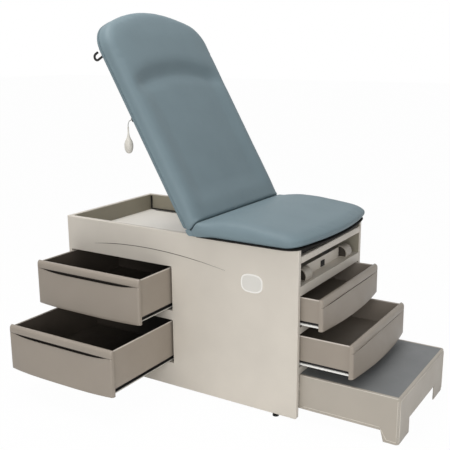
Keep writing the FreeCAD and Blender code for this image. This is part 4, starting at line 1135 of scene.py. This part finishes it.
def hook_sleeves(material):
    """Thick black sleeves over the two paper hooks behind the head end."""
    bend = HOOK_WIDTH / 2
    turn = BOARD_REAR - HOOK_DROP + bend
    section = [(0.0, BOARD_REAR - HOOK_SLEEVE_START), (0.0, BOARD_REAR - HOOK_SLEEVE_NECK)]
    section += [(bend - x, turn - z) for x, z in arc(0.0, 0.0, bend, 0.0, math.pi, 14)]
    section += [(HOOK_WIDTH, BOARD_REAR - HOOK_TIP)]
    lines = []
    for side in (-HOOK_Y, HOOK_Y):
        lines.append([back_matrix() @ Vector((-HOOK_U - along, side, n)) for along, n in section])
    line_curve("hook_sleeves", lines, HOOK_SLEEVE, 4, material, "backrest")


def step_beads(material):
    """The embossed line that follows the step's edges on both sides and across the front."""
    rear = STEP_FRONT_X - STEP_BEAD_LENGTH
    corner = STEP_FRONT_X - STEP_BEAD_INSET
    lines = []
    for side in (-STEP_SIDE, STEP_SIDE):
        y = MIDDLE_Y + side
        lines.append([(rear, y, STEP_SKIRT_Z), (STEP_LEG_X, y, STEP_SKIRT_Z), (STEP_LEG_FOOT_X, y, STEP_FOOT_Z),
                      (corner, y, STEP_FOOT_Z), (corner, y, STEP_TOP_Z)])
        lines.append([(rear, y, STEP_EDGE_Z), (corner, y, STEP_EDGE_Z)])
    near = MIDDLE_Y - (STEP_SIDE - STEP_BEAD_INSET)
    far = MIDDLE_Y + (STEP_SIDE - STEP_BEAD_INSET)
    lines.append([(STEP_FRONT_X, near, STEP_FOOT_Z), (STEP_FRONT_X, near, STEP_TOP_Z),
                  (STEP_FRONT_X, far, STEP_TOP_Z), (STEP_FRONT_X, far, STEP_FOOT_Z)])
    line_curve("step_beads", lines, STEP_BEAD_RADIUS, 2, material, "step")


def well_gap_shade(material):
    """A black cord in the far head corner of the storage well and along the foot of its far wall, a dark piece
    that stands in for the shade in the gaps there.
    """
    low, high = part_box("well_tray")
    x = low.x + SHADE_CORD_HEAD_GAP
    y = high.y - SHADE_CORD_WALL_GAP
    foot = low.z + SHADE_CORD_FOOT_RISE
    line = [(x, y, high.z - SHADE_CORD_TOP_GAP), (x, y, foot), (high.x - SHADE_CORD_END_GAP, y, foot)]
    line_curve("well_gap_shade", [line], SHADE_CORD_RADIUS, 2, material, "cabinet")


# Floor, light and camera
def seen_directly(tree):
    """1 for camera, glossy and transmission rays, which see the plain white setting."""
    path = tree.nodes.new("ShaderNodeLightPath")
    first = sums(tree, "MAXIMUM", path.outputs["Is Camera Ray"], path.outputs["Is Glossy Ray"])
    return sums(tree, "MAXIMUM", first, path.outputs["Is Transmission Ray"])


def shader_blend(tree, share, first, second, output):
    """Sends a mix of two shaders to an output node; share is how much of the second shows."""
    blend = add_node(tree, "MixShader", {"Fac": share, 1: first, 2: second})
    tree.links.new(blend.outputs["Shader"], output.inputs["Surface"])


def white_floor():
    material = bpy.data.materials.new("floor_white")
    material.use_nodes = True
    tree = material.node_tree
    shader = tree.nodes["Principled BSDF"]
    plug(tree, FLOOR_GREY, shader.inputs["Base Color"])
    plug(tree, FLOOR_ROUGHNESS, shader.inputs["Roughness"])
    glow = add_node(tree, "Emission", {"Strength": 1.0})
    share = sums(tree, "MULTIPLY", seen_directly(tree), FLOOR_WHITE_SHARE)
    output = tree.nodes["Material Output"]
    shader_blend(tree, share, shader.outputs["BSDF"], glow.outputs["Emission"], output)
    bm = bmesh.new()
    bmesh.ops.create_grid(bm, x_segments=1, y_segments=1, size=FLOOR_HALF)
    mesh = bpy.data.meshes.new("floor")
    bm.to_mesh(mesh)
    bm.free()
    mesh.materials.append(material)
    floor = linked("floor", mesh)


def white_world():
    world = bpy.data.worlds.new("studio")
    world.use_nodes = True
    scene.world = world
    tree = world.node_tree
    around = tree.nodes["Background"]
    plug(tree, WHITE, around.inputs["Color"])
    plug(tree, WORLD_STRENGTH, around.inputs["Strength"])
    seen = add_node(tree, "Background", {"Color": WHITE, "Strength": 1.0})
    output = tree.nodes["World Output"]
    shader_blend(tree, seen_directly(tree), around.outputs["Background"], seen.outputs["Background"], output)


def soft_light(name, place, target, size, power):
    data = bpy.data.lights.new(name, "AREA")
    data.shape = "DISK"
    data.size = size
    data.energy = power
    lamp = linked(name, data)
    lamp.location = place
    lamp.rotation_euler = (Vector(target) - Vector(place)).to_track_quat("-Z", "Y").to_euler()


def photo_camera():
    data = bpy.data.cameras.new("photo_camera")
    data.lens = CAMERA_LENS
    data.sensor_width = CAMERA_SENSOR
    data.shift_x = CAMERA_SHIFT_X
    data.shift_y = CAMERA_SHIFT_Y
    camera = linked("photo_camera", data)
    turn = Matrix.Rotation(math.radians(CAMERA_YAW), 4, "Z")
    turn = turn @ Matrix.Rotation(math.radians(90.0 - CAMERA_DOWN), 4, "X")
    turn = turn @ Matrix.Rotation(math.radians(CAMERA_ROLL), 4, "Z")
    camera.matrix_world = Matrix.Translation(CAMERA_PLACE) @ turn
    scene.camera = camera


# Dressing the carried-over nodes
def dress(material, *nodes):
    for node in nodes:
        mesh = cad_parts[node].data
        mesh.materials.clear()
        mesh.materials.append(material)


def dress_nodes():
    panel = painted("panel_paint", PANEL)
    dress(panel, "near_side_panel", "far_side_panel", "head_panel", "front_rails", "bay_tray", "bay_panel",
          "leg_rest_front")
    dress(painted("liner_paint", PANEL_INNER, roughness=0.5), "inner_liners", "centre_bulkhead", "base_pan")
    dress(well_paint("well_paint"), "well_tray")
    dress(painted("step_paint", STEP), "step_shell")
    dress(rubber("tread_rubber", TREAD), "step_tread")
    black = moulded("black_plastic", BLACK, roughness=0.45, shine=0.15)
    dress(black, "switch_frame", "switch_rocker", "foot_glides", "cable_gland")
    dress(moulded("hook_black", BLACK, roughness=0.38, shine=0.3), "paper_hooks")
    dress(moulded("handle_plastic", HANDLE, roughness=0.35), "pull_handle")
    dress(moulded("white_nylon", NYLON), "step_shoes")
    dress(moulded("cup_plastic", CUP, roughness=0.42), "near_stirrup_cup", "far_stirrup_cup")
    # dark end plastic, partly painted shade
    cup_end = moulded("cup_end_plastic_and_shade", CHEEK_PLASTIC_AND_SHADE, roughness=0.5, shine=0.2)
    dress(cup_end, "near_stirrup_cheeks", "far_stirrup_cheeks")
    dress(board("black_board", BOARD), "seat_board", "back_board")
    steel = metal("dark_steel", STEEL, roughness=0.42, streak=0.08, spangle=0.05)
    dress(steel, "cross_beams", "hinge_brackets", "back_arms", "back_crossbars", "spring_tube")
    zinc = metal("zinc_plate", ZINC, roughness=0.38, streak=0.08, spangle=0.08)
    dress(zinc, "side_drawer_rails", "front_drawer_rails", "step_rails", "leg_rest_channels", "leg_rest_pan",
          "stirrup_sleeves", "spring_base_fork", "spring_top_fork", "hinge_pins")
    chrome = metal("chrome", CHROME, roughness=0.12, streak=0.04, spangle=0.02)
    dress(chrome, "near_stirrup_arm", "far_stirrup_arm", "spring_rod")


def dress_drawers():
    taupe = painted("drawer_paint", DRAWER, roughness=0.42)
    nylon = moulded("roller_nylon", BLACK, shine=0.2)
    # painted shade for the finger grooves
    groove = moulded("groove_shade", GROOVE_SHADE, roughness=0.6, shine=0.1)
    for drawer in ("upper_side", "lower_side", "upper_front", "lower_front"):
        towards = "near" if drawer.endswith("side") else "foot"
        body = drawer + "_drawer"
        # painted shade for the inside of each box
        inside_shades = (SIDE_INSIDE_HEAD_SHADE, SIDE_INSIDE_FOOT_SHADE) if towards == "near" else (FOOT_INSIDE_SHADE, FOOT_INSIDE_SHADE)
        bar = (NYLON_DULL, SIDE_BAR_HEIGHT) if towards == "near" else (NYLON, FOOT_BAR_HEIGHT)
        box_node = body + "_box"
        runner_node = body + "_runners"
        dress(drawer_box_paint(body + "_box_paint", box_node, *inside_shades), box_node)
        dress(runner_paint(body + "_runner_paint", runner_node, *bar), runner_node)
        drawer_face(body + "_face", body + "_front", body, taupe, groove, towards)
        runner_rollers(body + "_rollers", runner_node, body, nylon, towards)


def build():
    scene.view_settings.view_transform = "Standard"
    photo_camera()
    white_world()
    white_floor()
    for light in LIGHTS:
        soft_light(*light)
    release_cord(moulded("cable_sleeve", CABLE, roughness=0.5))
    dress_nodes()
    dress_drawers()
    hide = vinyl("blue_vinyl", VINYL)
    seat_cushion(hide)
    back_cushion(hide)
    back_welt(hide)
    hinge_fold("near_hinge_fold", -1.0, hide)
    hinge_fold("far_hinge_fold", 1.0, hide)
    # black underlay: partly painted shade under the seat pad
    seat_underlay_and_shade(board("underlay_cloth_and_shade", BOARD))
    panel_stripe(painted("stripe_paint", STRIPE))
    rim_paint = painted("plaque_rim_paint", PLAQUE_RIM, roughness=0.35)
    blank_plate(rim_paint, painted("plaque_field_paint", PLAQUE, roughness=0.4))
    board_screws(metal("screw_steel", STEEL, roughness=0.3, streak=0.06, spangle=0.04))
    hook_sleeves(moulded("sleeve_black", BLACK, roughness=0.5, shine=0.3))
    # painted highlight along the embossed line
    step_beads(painted("step_bead_highlight_paint", STEP_BEAD_HIGHLIGHT))
    # black cord: painted shade in the well's gaps
    well_gap_shade(moulded("gap_shade_black", BLACK, roughness=0.6, shine=0.1))


build()
